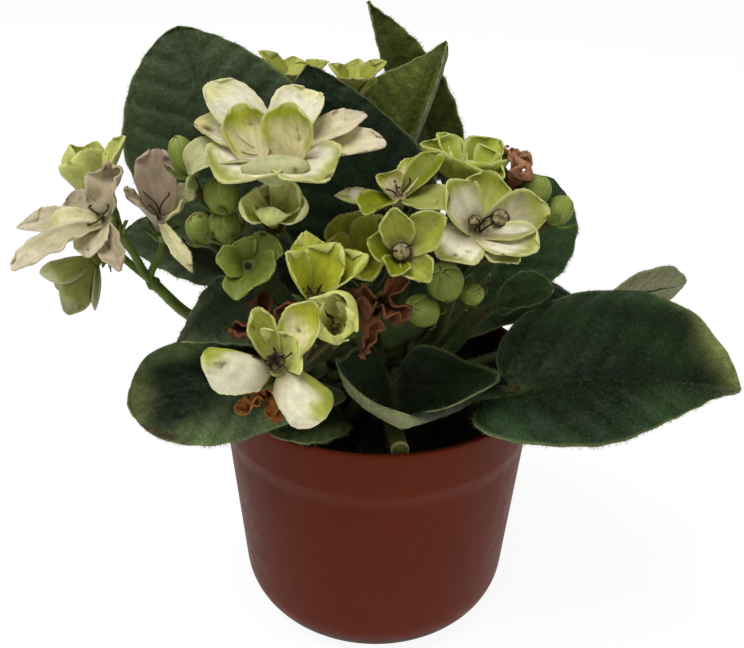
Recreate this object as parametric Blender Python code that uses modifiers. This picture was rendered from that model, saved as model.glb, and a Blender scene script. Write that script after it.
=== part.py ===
"""A potted miniature African violet with half-open green and white flowers, in a plain plastic pot.

The tables and sizes are in millimetres and the model is in metres.  The pot stands on z = 0 with its
axis on z, and the side of the plant that is drawn from the photograph faces -y.
"""
import itertools
import math
import random

import bmesh
import bpy
import numpy as np
from mathutils import Matrix, Vector

MM = 0.001
GAP = 0.3

# Pot
RIM_RADIUS = 35.0
POT_HEIGHT = 60.2
WALL_SLOPE = 0.0826
WALL = 1.2
BAND_HEIGHT = 11.7
BAND_STEP = 0.35
BASE_CORNER = 12.0
FLOOR = 1.6
FLOOR_CORNER = 0.45
DRAIN_HOLES = 5
DRAIN_RADIUS = 3.0
DRAIN_SIDES = 10
DRAIN_RING = 12.0
POT_STEPS = 30
CORNER_STEPS = 4

# Soil and crown
SOIL_TOP = 54.5
SOIL_RINGS = (13.0, 20.0, 27.0)
SOIL_ROUGHNESS = 0.7
SOIL_CORNER = 0.62
CROWN_RADIUS = 7.5
CROWN_DOME_RADIUS = 4.5
CROWN_FOOT = 44.0
CROWN_SHOULDER = 69.0
CROWN_DOME = 71.2
CROWN_TOP = 72.0
CROWN_BEVEL = 1.0
CROWN_STEPS = 20

# Leaves
BLADE = 1.0
BLADE_ALONG = 12
SMALL_BLADE_ALONG = 8
SMALL_BLADE = 30.0
BLADE_ACROSS = 4
BASE_CROWDING = 1.25
LOBE_SPAN = 1.3
LOBE_SWEEP = 1.5
PETIOLE_RADIUS = 1.7
NECK_RADIUS = 1.15
RIB_END_RADIUS = 0.5
RIB_DROP = 0.2
RIB_PLACES = (0.12, 0.28, 0.45)
ROOT_STUB = 1.5
STEM_LEAVE = 0.4
STEM_ARRIVE = 0.35
STEM_STEPS = 4

# Flowers
PETAL = 0.65
PETAL_ALONG = 3
PETAL_ACROSS = 2
PETAL_ROOT = 1.3
PETAL_ROOT_WIDTH = 0.14
PETAL_WIDEST = 0.62
PETAL_TIP_ROUNDING = 0.75
PETAL_TIP_BOW = 0.1
PETAL_LAP = 7.0
SLIVER_SHARES = (0.76, 0.8, 0.72, 0.9)
SLIVER_MERGES = (0.02, 0.001, 0.04, 0.01, 0.06, 0.08)
THROAT_RADIUS = 1.7
THROAT_DEPTH = 2.4
THROAT_RISE = 0.4
THROAT_FOOT = 0.9
CONE_SIDES = 6
CALYX_RADIUS = 1.7
CALYX_FOOT = 0.83
CALYX_DEPTH = 2.0
PEDUNCLE_RADIUS = 1.5
PEDUNCLE_END = 1.1
PEDUNCLE_STEPS = 3
PEDICEL_RADIUS = 0.75
FORK_DEPTH = 0.5
BUD_SEAT = 0.4
BUD_LIFT = 0.6
SEED = 7

# root: where the petiole leaves the crown (degrees from +x, height).  base, tip: the ends of the midrib.
# face: the way the upper side looks.  The pairs are for the left and the right half, looking to the tip:
# halves: their widths; lobe: how far they reach behind the base; point: how pointed the tip is; taper: how
# much the blade narrows to it; ovate: how near the base it is widest; fold: the tilt at the midrib; sag:
# the bend from midrib to margin (degrees).  arch and curl: the rise at the middle of the blade and at its
# tip.
LEAVES = {
    "leaf_right_front": dict(
        root=(322, 57.5), base=(27, -25, 70), tip=(72.5, -20, 68.5), face=(0, -0.34, 0.94),
        halves=(25.5, 15.5), lobe=(4, 10.5), point=(0, 0), taper=(-0.5, 0.45), ovate=(0, 0.6), arch=3,
        curl=-1, fold=(17, 17), sag=(-46, -30)),
    "leaf_left_front": dict(
        root=(222, 57.5), base=(-14, -22, 69), tip=(-47, -32, 70), face=(0.05, -0.3, 0.95),
        halves=(12, 18.5), lobe=(8, 6), point=(0.2, 0.15), taper=(-0.3, 0), ovate=(0, 0), arch=2, curl=-1,
        fold=(4, -4), sag=(-20, -20)),
    "leaf_left_mid": dict(
        root=(192, 57.5), base=(-24, -4, 77.5), tip=(-37.5, -26, 80.5), face=(0.2, -0.25, 0.95),
        halves=(12, 7.5), lobe=(5, 6), point=(0.9, 0.1), taper=(0.3, 0.5), ovate=(0.4, 0.5), arch=2,
        curl=-1, fold=(0, 14), sag=(-15, 14)),
    "leaf_front": dict(
        root=(296, 62), base=(3, -17, 66.5), tip=(5.5, -38.5, 71), face=(0, 0.2, 1), halves=(21, 19),
        lobe=(5, 5), point=(0, 0), taper=(0, 0.3), ovate=(0, -0.15), arch=-4, curl=1, fold=(10, 21),
        sag=(32, 46)),
    "leaf_right_back": dict(
        root=(19, 62), base=(24.5, 8, 79), tip=(39.5, 26, 95), face=(-0.2, -0.75, 0.6), halves=(12, 13),
        lobe=(5, 7.5), point=(0, 0.55), taper=(-0.15, 0), ovate=(-0.2, 0.3), arch=3, curl=-1, fold=(0, 0),
        sag=(-20, -20)),
    "leaf_back_left": dict(
        root=(150, 62), base=(-30, 8, 92), tip=(-43, 22, 128), face=(-0.1, -0.85, 0.5), halves=(19, 20.5),
        lobe=(7, 7), point=(0, 0.4), taper=(-0.15, 0), ovate=(0.3, 0.45), arch=3, curl=-1, fold=(0, 0),
        sag=(-20, -20)),
    "leaf_back_mid": dict(
        root=(98, 66.5), base=(2, 8, 82), tip=(-15.5, 15, 122), face=(0.1, -0.85, 0.5), halves=(18, 16),
        lobe=(6, 4), point=(0.5, 0.4), taper=(0, 0.3), ovate=(0.3, 0.5), arch=3, curl=0, fold=(0, 0),
        sag=(-15, -15)),
    "leaf_back_tall": dict(
        root=(50, 62), base=(14.5, 38, 93), tip=(-3.5, 42, 130), face=(0, -0.95, 0.3), halves=(5, 10.5),
        lobe=(4, 8), point=(1.0, 1.0), taper=(0.6, 0.65), ovate=(0.4, 0.1), arch=3, curl=0, fold=(10, 10),
        sag=(0, 0)),
    "leaf_back_fold": dict(
        root=(64, 66.5), base=(5.6, 30, 100), tip=(14, 34, 123), face=(0.2, -0.9, 0.2), halves=(18.5, 3),
        lobe=(1, 1), point=(0, 1.0), taper=(0.95, 0.7), ovate=(0.5, 0.3), arch=1, curl=0, fold=(5, 80),
        sag=(0, 0)),
    "leaf_far_right": dict(
        root=(5, 57.5), base=(50, 15, 66.5), tip=(72.5, 24, 70), face=(0.1, 0.75, 0.65), halves=(9.5, 9),
        lobe=(3, 6), point=(0, 0), taper=(-0.3, -0.1), ovate=(-0.3, 0.2), arch=2, curl=0, fold=(-15, 7),
        sag=(0, 0)),
    "leaf_left": dict(
        root=(163, 57.5), base=(-31, 13, 75), tip=(-57, 14, 84.5), face=(0.1, -0.4, 0.9), halves=(7, 12),
        lobe=(3, 4), point=(0.4, 0.4), taper=(0, 0), ovate=(0.18, 0.18), arch=2, curl=0, fold=(0, 0),
        sag=(-15, -15)),
    "leaf_young_right": dict(
        root=(345, 62), base=(27, -2, 78), tip=(36.5, -2, 80.5), face=(0, -0.5, 0.85), halves=(4.5, 4),
        lobe=(2, 2), point=(0.5, 0.5), taper=(0, 0), ovate=(0.18, 0.18), arch=1, curl=0, fold=(10, 10),
        sag=(0, 0)),
    "leaf_low_front": dict(
        root=(251, 57.5), base=(-8, -22, 61), tip=(-22, -30, 63), face=(0, -0.2, 0.95), halves=(7, 7),
        lobe=(3, 3), point=(0.3, 0.3), taper=(0, 0), ovate=(0.18, 0.18), arch=1, curl=0, fold=(0, 0),
        sag=(-10, -10)),
    "leaf_back": dict(
        root=(85, 57.5), base=(5, 25, 70), tip=(4, 62, 74), face=(0, -0.1, 1), halves=(13, 17),
        lobe=(8, 8), point=(0.5, 0.5), taper=(0, 0), ovate=(0.18, 0.18), arch=5, curl=-1, fold=(0, 0),
        sag=(-20, -20)),
    "leaf_back_low_left": dict(
        root=(128, 57.5), base=(-16, 20, 68), tip=(-35, 42, 78), face=(0, -0.3, 0.95), halves=(17, 17),
        lobe=(7, 7), point=(0.5, 0.5), taper=(0, 0), ovate=(0.18, 0.18), arch=5, curl=-1, fold=(0, 0),
        sag=(-20, -20)),
    "leaf_back_low_right": dict(
        root=(42, 57.5), base=(19, 19, 65), tip=(45, 41, 62), face=(0, 0, 1), halves=(16, 16), lobe=(7, 7),
        point=(0.5, 0.5), taper=(0, 0), ovate=(0.18, 0.18), arch=5, curl=-1, fold=(0, 0), sag=(-20, -20)),
}

# The petiole of a leaf that was cut off: where it leaves the crown and its cut end.
CUT_PETIOLE = dict(root=(279, 57.5), end=(4.4, -32, 59.7), radius=1.75)

# at: the throat.  axis: the way the flower looks.  curl: the bend of a petal from root to tip (degrees,
# outward).  petals: azimuth round the axis (0 to the right, 270 to the front), angle from the axis
# (degrees), length, width and depth of the cup.
BLOOMS = {
    "bloom_top_left": dict(
        at=(-19, -15, 113), axis=(-0.05, -0.35, 0.93), slot="petal_white", curl=45,
        petals=((148, 56, 17, 10, 2), (168, 62, 16, 9, 2), (196, 94, 16, 9, 2), (231, 68, 13, 14, 3),
                (263, 79, 12, 12, 3), (312, 74, 13, 12, 3), (352, 74, 19, 10, 2), (31, 70, 15, 8, 2),
                (62, 72, 13, 10, 3), (150, 24, 11, 9, 2), (44, 20, 11, 9, 2))),
    "bloom_cup": dict(
        at=(-20, -19, 102), axis=(0, -0.55, 0.83), slot="petal_green", curl=-60,
        petals=((167, 42, 8, 7, 2), (109, 49, 7, 7, 2), (46, 46, 8, 7, 2),
                (350, 40, 8, 7, 2), (265, 36, 8, 7, 2))),
    "bloom_under_left": dict(
        at=(-24.5, -22, 93.5), axis=(-0.1, -0.7, 0.7), slot="petal_green", curl=40,
        petals=((190, 46, 7, 7, 2), (263, 62, 9, 8, 2), (329, 60, 7, 8, 2),
                (40, 54, 6, 7, 2), (126, 60, 5, 6, 2))),
    "bloom_left_top": dict(
        at=(-57.5, -6, 101.5), axis=(-0.1, -0.1, 0.98), slot="petal_green", curl=-30,
        petals=((200, 16, 10, 9, 3), (93, 44, 11, 8, 3), (22, 37, 10, 7, 2),
                (238, 32, 8, 7, 2), (310, 26, 9, 8, 3))),
    "bloom_left_old": dict(
        at=(-51, -19, 101), axis=(-0.35, -0.5, 0.8), slot="petal_white", curl=30,
        petals=((174, 83, 17, 8, 2), (204, 58, 10, 9, 3), (234, 64, 20, 11, 2), (254, 66, 9, 8, 2),
                (290, 96, 12, 5, 2), (76, 57, 10, 8, 2), (129, 72, 8, 8, 2))),
    "bloom_left_low": dict(
        at=(-56.5, -12, 89.5), axis=(-0.6, -0.4, -0.6), slot="petal_green", curl=-30,
        petals=((194, 50, 10, 8, 2), (235, 30, 11, 8, 2), (48, 32, 12, 8, 2),
                (337, 30, 9, 8, 2), (120, 36, 10, 8, 2))),
    "bloom_faded": dict(
        at=(-43, -10, 97.5), axis=(0, -0.2, 0.95), slot="petal_white", curl=15,
        petals=((90, 27, 14, 9, 2), (212, 26, 9, 6, 2), (22, 54, 8, 7, 2), (300, 108, 12, 4, 1))),
    "bloom_right_white": dict(
        at=(17.5, -22, 101), axis=(0, -0.55, 0.83), slot="petal_white", curl=30,
        petals=((141, 33, 11, 9, 3), (77, 66, 12, 10, 3), (14, 66, 13, 12, 3),
                (322, 60, 12, 9, 2), (290, 72, 10, 11, 2), (224, 62, 10, 11, 2))),
    "bloom_right_green": dict(
        at=(3, -18, 106), axis=(-0.1, -0.2, 0.97), slot="petal_green", curl=30,
        petals=((197, 72, 11, 5, 1), (234, 69, 9, 7, 2), (150, 38, 6, 7, 2),
                (75, 64, 9, 7, 2), (34, 58, 10, 7, 2), (336, 58, 10, 8, 2))),
    "bloom_top_right": dict(
        at=(16.5, -8, 105.5), axis=(0.1, -0.1, 0.98), slot="petal_green", curl=20,
        petals=((166, 58, 11, 8, 3), (115, 49, 11, 8, 3), (239, 38, 8, 10, 3),
                (67, 45, 10, 9, 3), (16, 48, 9, 8, 3), (316, 50, 8, 8, 3))),
    "bloom_centre": dict(
        at=(3.5, -29, 99.5), axis=(0, -0.75, 0.66), slot="petal_green", curl=20,
        petals=((100, 50, 8, 8, 3), (176, 46, 6, 7, 2), (246, 56, 6, 6, 2),
                (300, 50, 7, 8, 3), (36, 50, 10, 7, 2))),
    "bloom_centre_back": dict(
        at=(-3.5, -16, 91), axis=(-0.1, -0.3, 0.95), slot="petal_green", curl=20,
        petals=((105, 54, 10, 10, 3), (188, 30, 8, 8, 3), (50, 40, 10, 8, 3), (284, 60, 6, 7, 3))),
    "bloom_middle": dict(
        at=(-11.5, -36, 94.5), axis=(-0.05, -0.35, 0.93), slot="petal_green", curl=20,
        petals=((158, 30, 9, 8, 3), (104, 54, 11, 8, 2), (54, 30, 10, 9, 3), (12, 42, 12, 9, 3))),
    "bloom_small_cup": dict(
        at=(-7.6, -39.3, 90.4), axis=(-0.2, -0.8, 0.4), slot="petal_green", curl=-60,
        petals=((190, 24, 7, 7, 3), (275, 34, 6, 7, 3), (344, 40, 7, 7, 3),
                (44, 36, 8, 7, 3), (115, 36, 6, 7, 3))),
    "bloom_low": dict(
        at=(-17, -47.5, 87), axis=(-0.05, -0.6, 0.8), slot="petal_white", curl=20,
        petals=((118, 50, 10, 7, 2), (68, 54, 10, 9, 2), (16, 44, 8, 8, 2),
                (298, 68, 11, 11, 3), (198, 56, 14, 10, 3))),
    "bloom_back_left": dict(
        at=(-20, 27, 113.5), axis=(0, -0.1, 1), slot="petal_green", curl=25,
        petals=((174, 40, 9, 8, 2), (97, 38, 9, 9, 2), (15, 44, 9, 8, 2), (268, 33, 8, 9, 2))),
    "bloom_back_right": dict(
        at=(-6.5, 23.5, 114), axis=(0.05, -0.1, 1), slot="petal_green", curl=25,
        petals=((174, 40, 8, 7, 2), (94, 36, 9, 7, 2), (9, 46, 9, 8, 2), (276, 35, 8, 8, 2))),
    "withered_middle": dict(
        at=(-0.5, -31, 90.5), axis=(0.2, -0.6, 0.7), slot="withered", curl=50,
        petals=((61, 38, 8, 4, 1), (195, 50, 6, 5, 2), (330, 70, 5, 5, 2), (256, 88, 8, 4, 1))),
    "withered_left": dict(
        at=(-19, -27, 83), axis=(-0.3, -0.6, 0.7), slot="withered", curl=50,
        petals=((186, 52, 8, 5, 2), (124, 50, 6, 5, 2), (20, 54, 6, 5, 2), (280, 58, 5, 5, 2))),
    "withered_low": dict(
        at=(-19, -44, 81), axis=(-0.3, -0.8, -0.2), slot="withered", curl=50,
        petals=((200, 30, 5, 4, 1), (320, 34, 5, 4, 1), (80, 30, 4, 4, 1))),
    "withered_right": dict(
        at=(25.4, -9.3, 107.3), axis=(0.4, -0.2, 0.8), slot="withered", curl=50,
        petals=((40, 30, 6, 4, 1), (110, 36, 5, 4, 1), (320, 42, 5, 4, 1))),
}

# Dried stamens in the throats of the flowers that show them: how far above the throat, and the radius.
STAMENS = {
    "stamens_centre": dict(bloom="bloom_centre", rise=2.8, radius=1.9),
    "stamens_right": dict(bloom="bloom_right_white", rise=2.4, radius=1.5),
    "stamens_low": dict(bloom="bloom_low", rise=2.7, radius=1.8),
}

# root: as for a leaf.  way: the points the peduncle passes.  blooms: what its pedicels carry.
# buds: centre, radius and length.
STALKS = {
    "stalk_left": dict(
        root=(210, 65), way=((-17, -9, 76), (-23, -12, 86)),
        blooms=("bloom_top_left", "bloom_cup", "bloom_under_left"),
        buds=(((-29.5, -17, 105.5), 2.9, 7), ((-29.5, -16, 99), 2.8, 6.5), ((-34, -16, 98.5), 2.4, 6),
              ((-37, -12, 111), 2.2, 8))),
    "stalk_far_left": dict(
        root=(174, 62), way=((-27, 3, 66), (-39.5, -1, 71.5), (-46, -8, 83)),
        blooms=("bloom_left_top", "bloom_left_old", "bloom_left_low", "bloom_faded"), buds=()),
    "stalk_right": dict(
        root=(330, 66), way=((12, -10, 74), (15, -13, 86)),
        blooms=("bloom_right_white", "bloom_right_green", "bloom_top_right", "withered_right"),
        buds=(((29.5, -9, 104.5), 2.6, 6), ((34.5, -9, 100.5), 2.3, 6), ((12, -23, 91.5), 3.2, 8),
              ((8, -23, 85.5), 2.8, 8), ((17.5, -21, 88), 1.9, 5))),
    "stalk_middle": dict(
        root=(270, 66.5), way=((-1, -12, 76), (0, -17, 84)),
        blooms=("bloom_centre", "bloom_centre_back", "withered_middle"), buds=()),
    "stalk_front": dict(
        root=(243, 62), way=((-9, -16, 72), (-14, -28, 76)),
        blooms=("bloom_middle", "bloom_small_cup", "bloom_low", "withered_left", "withered_low"), buds=()),
    "stalk_back": dict(
        root=(123, 66.5), way=((-10, 14, 84), (-13, 18, 100)),
        blooms=("bloom_back_left", "bloom_back_right"), buds=()),
}

SLOTS = {
    "terracotta_plastic": ((0.36, 0.085, 0.05), 0.5),
    "soil": ((0.02, 0.013, 0.009), 0.95),
    "leaf": ((0.025, 0.06, 0.025), 0.6),
    "stem": ((0.09, 0.16, 0.03), 0.55),
    "petal_white": ((0.72, 0.68, 0.52), 0.55),
    "petal_green": ((0.33, 0.42, 0.09), 0.5),
    "withered": ((0.12, 0.04, 0.02), 0.8),
}


def unit(vector):
    """The vector at length one."""
    vector = np.array(vector, float)
    return vector / np.linalg.norm(vector)


def smooth_way(points, steps):
    """Points on a Catmull-Rom curve through the given ones, with so many steps from each to the next."""
    points = [np.array(p, float) for p in points]
    ends = [2 * points[0] - points[1]] + points + [2 * points[-1] - points[-2]]
    way = []
    for a, b, c, d in zip(ends, ends[1:], ends[2:], ends[3:]):
        for t in np.arange(steps) / steps:
            way.append(0.5 * (2 * b + (c - a) * t + (2 * a - 5 * b + 4 * c - d) * t**2
                              + (3 * b - a - 3 * c + d) * t**3))
    return way + [points[-1]]


def bezier(start, leave, arrive, end, steps):
    """Points on a cubic curve that leaves start towards leave and reaches end from arrive."""
    start, leave, arrive, end = (np.array(p, float) for p in (start, leave, arrive, end))
    return [(1 - t)**3 * start + 3 * t * (1 - t)**2 * leave + 3 * t**2 * (1 - t) * arrive + t**3 * end
            for t in np.linspace(0, 1, steps + 1)]


def crown_exit(root):
    """The first two points of a stem that leaves the crown straight out."""
    angle, height = root
    out = np.array((math.cos(math.radians(angle)), math.sin(math.radians(angle)), 0))
    first = out * (CROWN_RADIUS + GAP) + np.array((0, 0, height))
    return first, first + out * ROOT_STUB, out


def leaf_frame(leaf):
    """The blade's base and length, with its directions ahead, to its left and up."""
    base, tip = np.array(leaf["base"], float), np.array(leaf["tip"], float)
    ahead = unit(tip - base)
    face = np.array(leaf["face"], float)
    up = unit(face - ahead * (face @ ahead))
    return base, np.linalg.norm(tip - base), ahead, np.cross(up, ahead), up


def leaf_surface(leaf, u, v):
    """The blade's upper side: u runs from base to tip, v from the right margin (-1) to the left one (1)."""
    base, length, ahead, side, up = leaf_frame(leaf)
    left = v >= 0

    def half_value(name):
        return np.where(left, leaf[name][0], leaf[name][1])

    phi = np.pi * u**BASE_CROWDING
    reach = np.abs(v)
    point = half_value("point") * u**3
    along = (1 - point) * (1 - np.cos(phi)) / 2 + point * u
    lobe = half_value("lobe") * np.sin(np.sqrt(np.clip(phi / LOBE_SPAN, 0, 1)) * np.pi)**2
    across = half_value("halves") * np.sin(phi) * (1 + half_value("ovate") * np.cos(phi)) * reach
    across = across * (1 - half_value("taper") * u**2)
    x = along * length - lobe * reach**LOBE_SWEEP
    fold = np.radians(half_value("fold"))
    bend = np.radians(half_value("sag")) / half_value("halves")
    bend = np.where(np.abs(bend) < 1e-5, 1e-5, bend)
    y = (np.sin(fold + bend * across) - np.sin(fold)) / bend
    z = (np.cos(fold) - np.cos(fold + bend * across)) / bend
    t = x / length
    z = z + leaf["arch"] * 4 * t * (1 - t) + leaf["curl"] * np.clip(t, 0, 2)**3
    y = np.where(left, y, -y)
    return base + np.outer(x, ahead) + np.outer(y, side) + np.outer(z, up)


def petiole_way(leaf):
    """The petiole from the crown to the blade, and on under it as the midrib, with its radii."""
    first, second, out = crown_exit(leaf["root"])
    base, length, ahead, _, up = leaf_frame(leaf)
    seat = base - up * NECK_RADIUS
    reach = np.linalg.norm(seat - second)
    level = np.linalg.norm((seat - second)[:2])
    way = bezier(second, second + out * level * STEM_LEAVE,
                 seat - ahead * reach * STEM_ARRIVE, seat, STEM_STEPS)
    radii = list(np.linspace(PETIOLE_RADIUS, NECK_RADIUS, len(way)))
    for place in RIB_PLACES:
        radius = NECK_RADIUS + (RIB_END_RADIUS - NECK_RADIUS) * place / RIB_PLACES[-1]
        on_blade = leaf_surface(leaf, np.array([place]), np.array([0.0]))[0]
        way.append(on_blade - up * (radius + RIB_DROP))
        radii.append(radius)
    return [first] + way, [PETIOLE_RADIUS] + radii


def bloom_frame(bloom):
    """The throat and the flower's directions: to the right, to the back and along its axis."""
    axis = unit(bloom["axis"])
    right = unit(np.array((1.0, 0, 0)) - axis[0] * axis)
    return np.array(bloom["at"], float), right, np.cross(axis, right), axis


def lapped_petals(bloom):
    """The petals, each second one opened further, so that neighbours lie over each other."""
    lapped = []
    for number, (azimuth, opening, length, width, cup) in enumerate(bloom["petals"]):
        lap = PETAL_LAP if number % 2 else -PETAL_LAP
        if number % 2 == 0 and number == len(bloom["petals"]) - 1:
            lap = 0
        lapped.append((azimuth, opening + lap, length, width, cup))
    return lapped


def petal_surface(bloom, petal, u, v):
    """A petal: u runs from its root to its tip and v from edge to edge, -1 to 1."""
    azimuth, opening, length, width, cup = petal
    at, right, back, axis = bloom_frame(bloom)
    turn = math.radians(azimuth)
    out = math.cos(turn) * right + math.sin(turn) * back
    aside = math.cos(turn) * back - math.sin(turn) * right
    rise = np.clip(u / PETAL_WIDEST, 0, 1)
    fall = np.clip((u - PETAL_WIDEST) / (1 - PETAL_WIDEST), 0, 1)
    half = width / 2 * (PETAL_ROOT_WIDTH + (1 - PETAL_ROOT_WIDTH) * np.sin(np.pi / 2 * rise))
    half = half * np.sqrt(1 - PETAL_TIP_ROUNDING * fall**2)
    run = u * (1 - PETAL_TIP_BOW * v**2 * u)
    bend = math.radians(bloom["curl"])
    start = math.radians(opening) - bend / 2
    angle = start + bend * run
    reach = PETAL_ROOT + length * (math.cos(start) - np.cos(angle)) / bend
    climb = length * (np.sin(angle) - math.sin(start)) / bend
    lift = cup * v**2 * half / width
    reach = reach - np.cos(angle) * lift
    climb = climb + np.sin(angle) * lift
    return at + np.outer(reach, out) + np.outer(climb, axis) + np.outer(half * v, aside)


def material(slot):
    """The slot's plain material, made once."""
    if slot not in bpy.data.materials:
        colour, roughness = SLOTS[slot]
        made = bpy.data.materials.new(slot)
        made.use_nodes = True
        shader = made.node_tree.nodes["Principled BSDF"]
        shader.inputs["Base Color"].default_value = (*colour, 1)
        shader.inputs["Roughness"].default_value = roughness
        shader.inputs["Metallic"].default_value = 0
    return bpy.data.materials[slot]


def scratch_object(mesh):
    """An object in the scene that a union or a cut will use up."""
    made = bpy.data.objects.new("piece", mesh)
    bpy.context.scene.collection.objects.link(made)
    return made


def evaluated_mesh(thing):
    """The object's mesh with its modifiers applied."""
    bpy.context.view_layer.update()
    graph = bpy.context.evaluated_depsgraph_get()
    return bpy.data.meshes.new_from_object(thing.evaluated_get(graph))


def finished(name, thing, slot, parts):
    """Names a piece as a sub-part, with its material and its modifiers applied."""
    mesh = evaluated_mesh(thing)
    bpy.data.objects.remove(thing)
    mesh.name = name
    mesh.materials.clear()
    mesh.materials.append(material(slot))
    mesh.shade_smooth()
    mesh.set_sharp_from_angle(angle=math.radians(40))
    made = bpy.data.objects.new(name, mesh)
    parts.objects.link(made)
    return made


def fused(pieces):
    """The union of the pieces, which are used up."""
    first, others = pieces[0], pieces[1:]
    group = bpy.data.collections.new("joined")
    for piece in others:
        group.objects.link(piece)
    union = first.modifiers.new("union", "BOOLEAN")
    union.operation = "UNION"
    union.operand_type = "COLLECTION"
    union.collection = group
    union.solver = "MANIFOLD"
    whole = evaluated_mesh(first)
    for piece in pieces:
        bpy.data.objects.remove(piece)
    bpy.data.collections.remove(group)
    return whole


def thinned(mesh):
    """The fused mesh in triangles, with the slivers along its seams merged away where it stays closed."""
    for share, merge, method in itertools.product(SLIVER_SHARES, SLIVER_MERGES, ("BEAUTY", "EAR_CLIP")):
        shape = bmesh.new()
        shape.from_mesh(mesh)
        bmesh.ops.triangulate(shape, faces=shape.faces, ngon_method=method)
        bmesh.ops.dissolve_degenerate(shape, edges=shape.edges, dist=merge * MM)
        merged = bpy.data.meshes.new("merged")
        shape.to_mesh(merged)
        shape.free()
        whole = scratch_object(merged)
        slivers = whole.modifiers.new("slivers", "DECIMATE")
        slivers.ratio = share
        if is_closed(evaluated_mesh(whole)):
            return whole
        bpy.data.objects.remove(whole)
    raise ValueError("this union does not close")


def is_closed(mesh):
    """True where each edge has two faces."""
    shape = bmesh.new()
    shape.from_mesh(mesh)
    closed = all(len(edge.link_faces) == 2 for edge in shape.edges)
    shape.free()
    return closed


def sheet(surface, along, across, thickness, offset):
    """A blade: a grid that a formula shapes, split into triangles and thickened."""
    grid = bmesh.new()
    bmesh.ops.create_grid(grid, x_segments=along, y_segments=across, size=1)
    u = np.array([vertex.co.x for vertex in grid.verts]) / 2 + 0.5
    v = np.array([vertex.co.y for vertex in grid.verts])
    for vertex, place in zip(grid.verts, surface(u, v)):
        vertex.co = Vector(place) * MM
    bmesh.ops.remove_doubles(grid, verts=grid.verts, dist=0.01 * MM)
    bmesh.ops.triangulate(grid, faces=grid.faces)
    mesh = bpy.data.meshes.new("sheet")
    grid.to_mesh(mesh)
    grid.free()
    blade = scratch_object(mesh)
    solid = blade.modifiers.new("thickness", "SOLIDIFY")
    solid.thickness = thickness * MM
    solid.offset = offset
    whole = scratch_object(evaluated_mesh(blade))
    bpy.data.objects.remove(blade)
    return whole


def tube(way, radii, resolution=1):
    """A stem along the points, with a radius at each."""
    curve = bpy.data.curves.new("stem", "CURVE")
    curve.dimensions = "3D"
    curve.bevel_depth = MM
    curve.bevel_resolution = resolution
    curve.use_fill_caps = True
    line = curve.splines.new("POLY")
    line.points.add(len(way) - 1)
    for point, place, radius in zip(line.points, way, radii):
        point.co = (*(Vector(place) * MM), 1)
        point.radius = radius
    thing = scratch_object(curve)
    mesh = evaluated_mesh(thing)
    bpy.data.objects.remove(thing)
    welded = bmesh.new()
    welded.from_mesh(mesh)
    bmesh.ops.remove_doubles(welded, verts=welded.verts, dist=0.01 * MM)
    bmesh.ops.recalc_face_normals(welded, faces=welded.faces)
    welded.to_mesh(mesh)
    welded.free()
    return scratch_object(mesh)


def cone(foot, top, foot_radius, top_radius, sides):
    """A cone or cylinder between two points."""
    foot, top = Vector(foot), Vector(top)
    shape = bmesh.new()
    turn = (top - foot).to_track_quat("Z", "Y").to_matrix().to_4x4()
    place = Matrix.Translation((foot + top) / 2 * MM) @ turn
    bmesh.ops.create_cone(shape, cap_ends=True, segments=sides, radius1=foot_radius * MM,
                          radius2=top_radius * MM, depth=(top - foot).length * MM, matrix=place)
    mesh = bpy.data.meshes.new("cone")
    shape.to_mesh(mesh)
    shape.free()
    return scratch_object(mesh)


def ball(centre, direction, radius, length, sides, rings):
    """An egg shape of the given radius, with its length along the direction."""
    shape = bmesh.new()
    turn = Vector(direction).to_track_quat("Z", "Y").to_matrix().to_4x4()
    place = Matrix.Translation(Vector(centre) * MM) @ turn @ Matrix.Diagonal((1, 1, length / 2 / radius, 1))
    bmesh.ops.create_uvsphere(shape, u_segments=sides, v_segments=rings, radius=radius * MM, matrix=place)
    mesh = bpy.data.meshes.new("ball")
    shape.to_mesh(mesh)
    shape.free()
    return scratch_object(mesh)


def turned(profile, steps):
    """A solid of revolution from a profile that starts and ends on the axis."""
    mesh = bpy.data.meshes.new("profile")
    edges = [(i, i + 1) for i in range(len(profile) - 1)]
    mesh.from_pydata([(radius * MM, 0, height * MM) for radius, height in profile], edges, [])
    thing = scratch_object(mesh)
    screw = thing.modifiers.new("turn", "SCREW")
    screw.steps = screw.render_steps = steps
    screw.use_merge_vertices = True
    screw.merge_threshold = 0.00001
    whole = scratch_object(evaluated_mesh(thing))
    bpy.data.objects.remove(thing)
    return whole


def wall_radius(height):
    """The outer radius of the pot's wall under the rim band."""
    return RIM_RADIUS - BAND_STEP - WALL_SLOPE * (POT_HEIGHT - height)


def foot_profile():
    """The rounded foot of the pot, from the wall to the edge of its flat bottom."""
    slant = math.atan(WALL_SLOPE)
    centre = wall_radius(BASE_CORNER * (1 - math.sin(slant))) - BASE_CORNER * math.cos(slant)
    profile = []
    for angle in np.linspace(-slant, -math.pi / 2, CORNER_STEPS + 1):
        profile.append((centre + BASE_CORNER * math.cos(angle), BASE_CORNER * (1 + math.sin(angle))))
    return profile


def drain_hole(number):
    """The cutter of one drain hole."""
    angle = 2 * math.pi * number / DRAIN_HOLES
    x, y = DRAIN_RING * math.cos(angle), DRAIN_RING * math.sin(angle)
    hole = cone((x, y, -FLOOR), (x, y, 2 * FLOOR), DRAIN_RADIUS, DRAIN_RADIUS, DRAIN_SIDES)
    hole.name = "drain_hole_%d" % (number + 1)
    hole.hide_render = True
    hole.display_type = "WIRE"
    bpy.context.scene.collection.objects.unlink(hole)
    return hole


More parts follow.
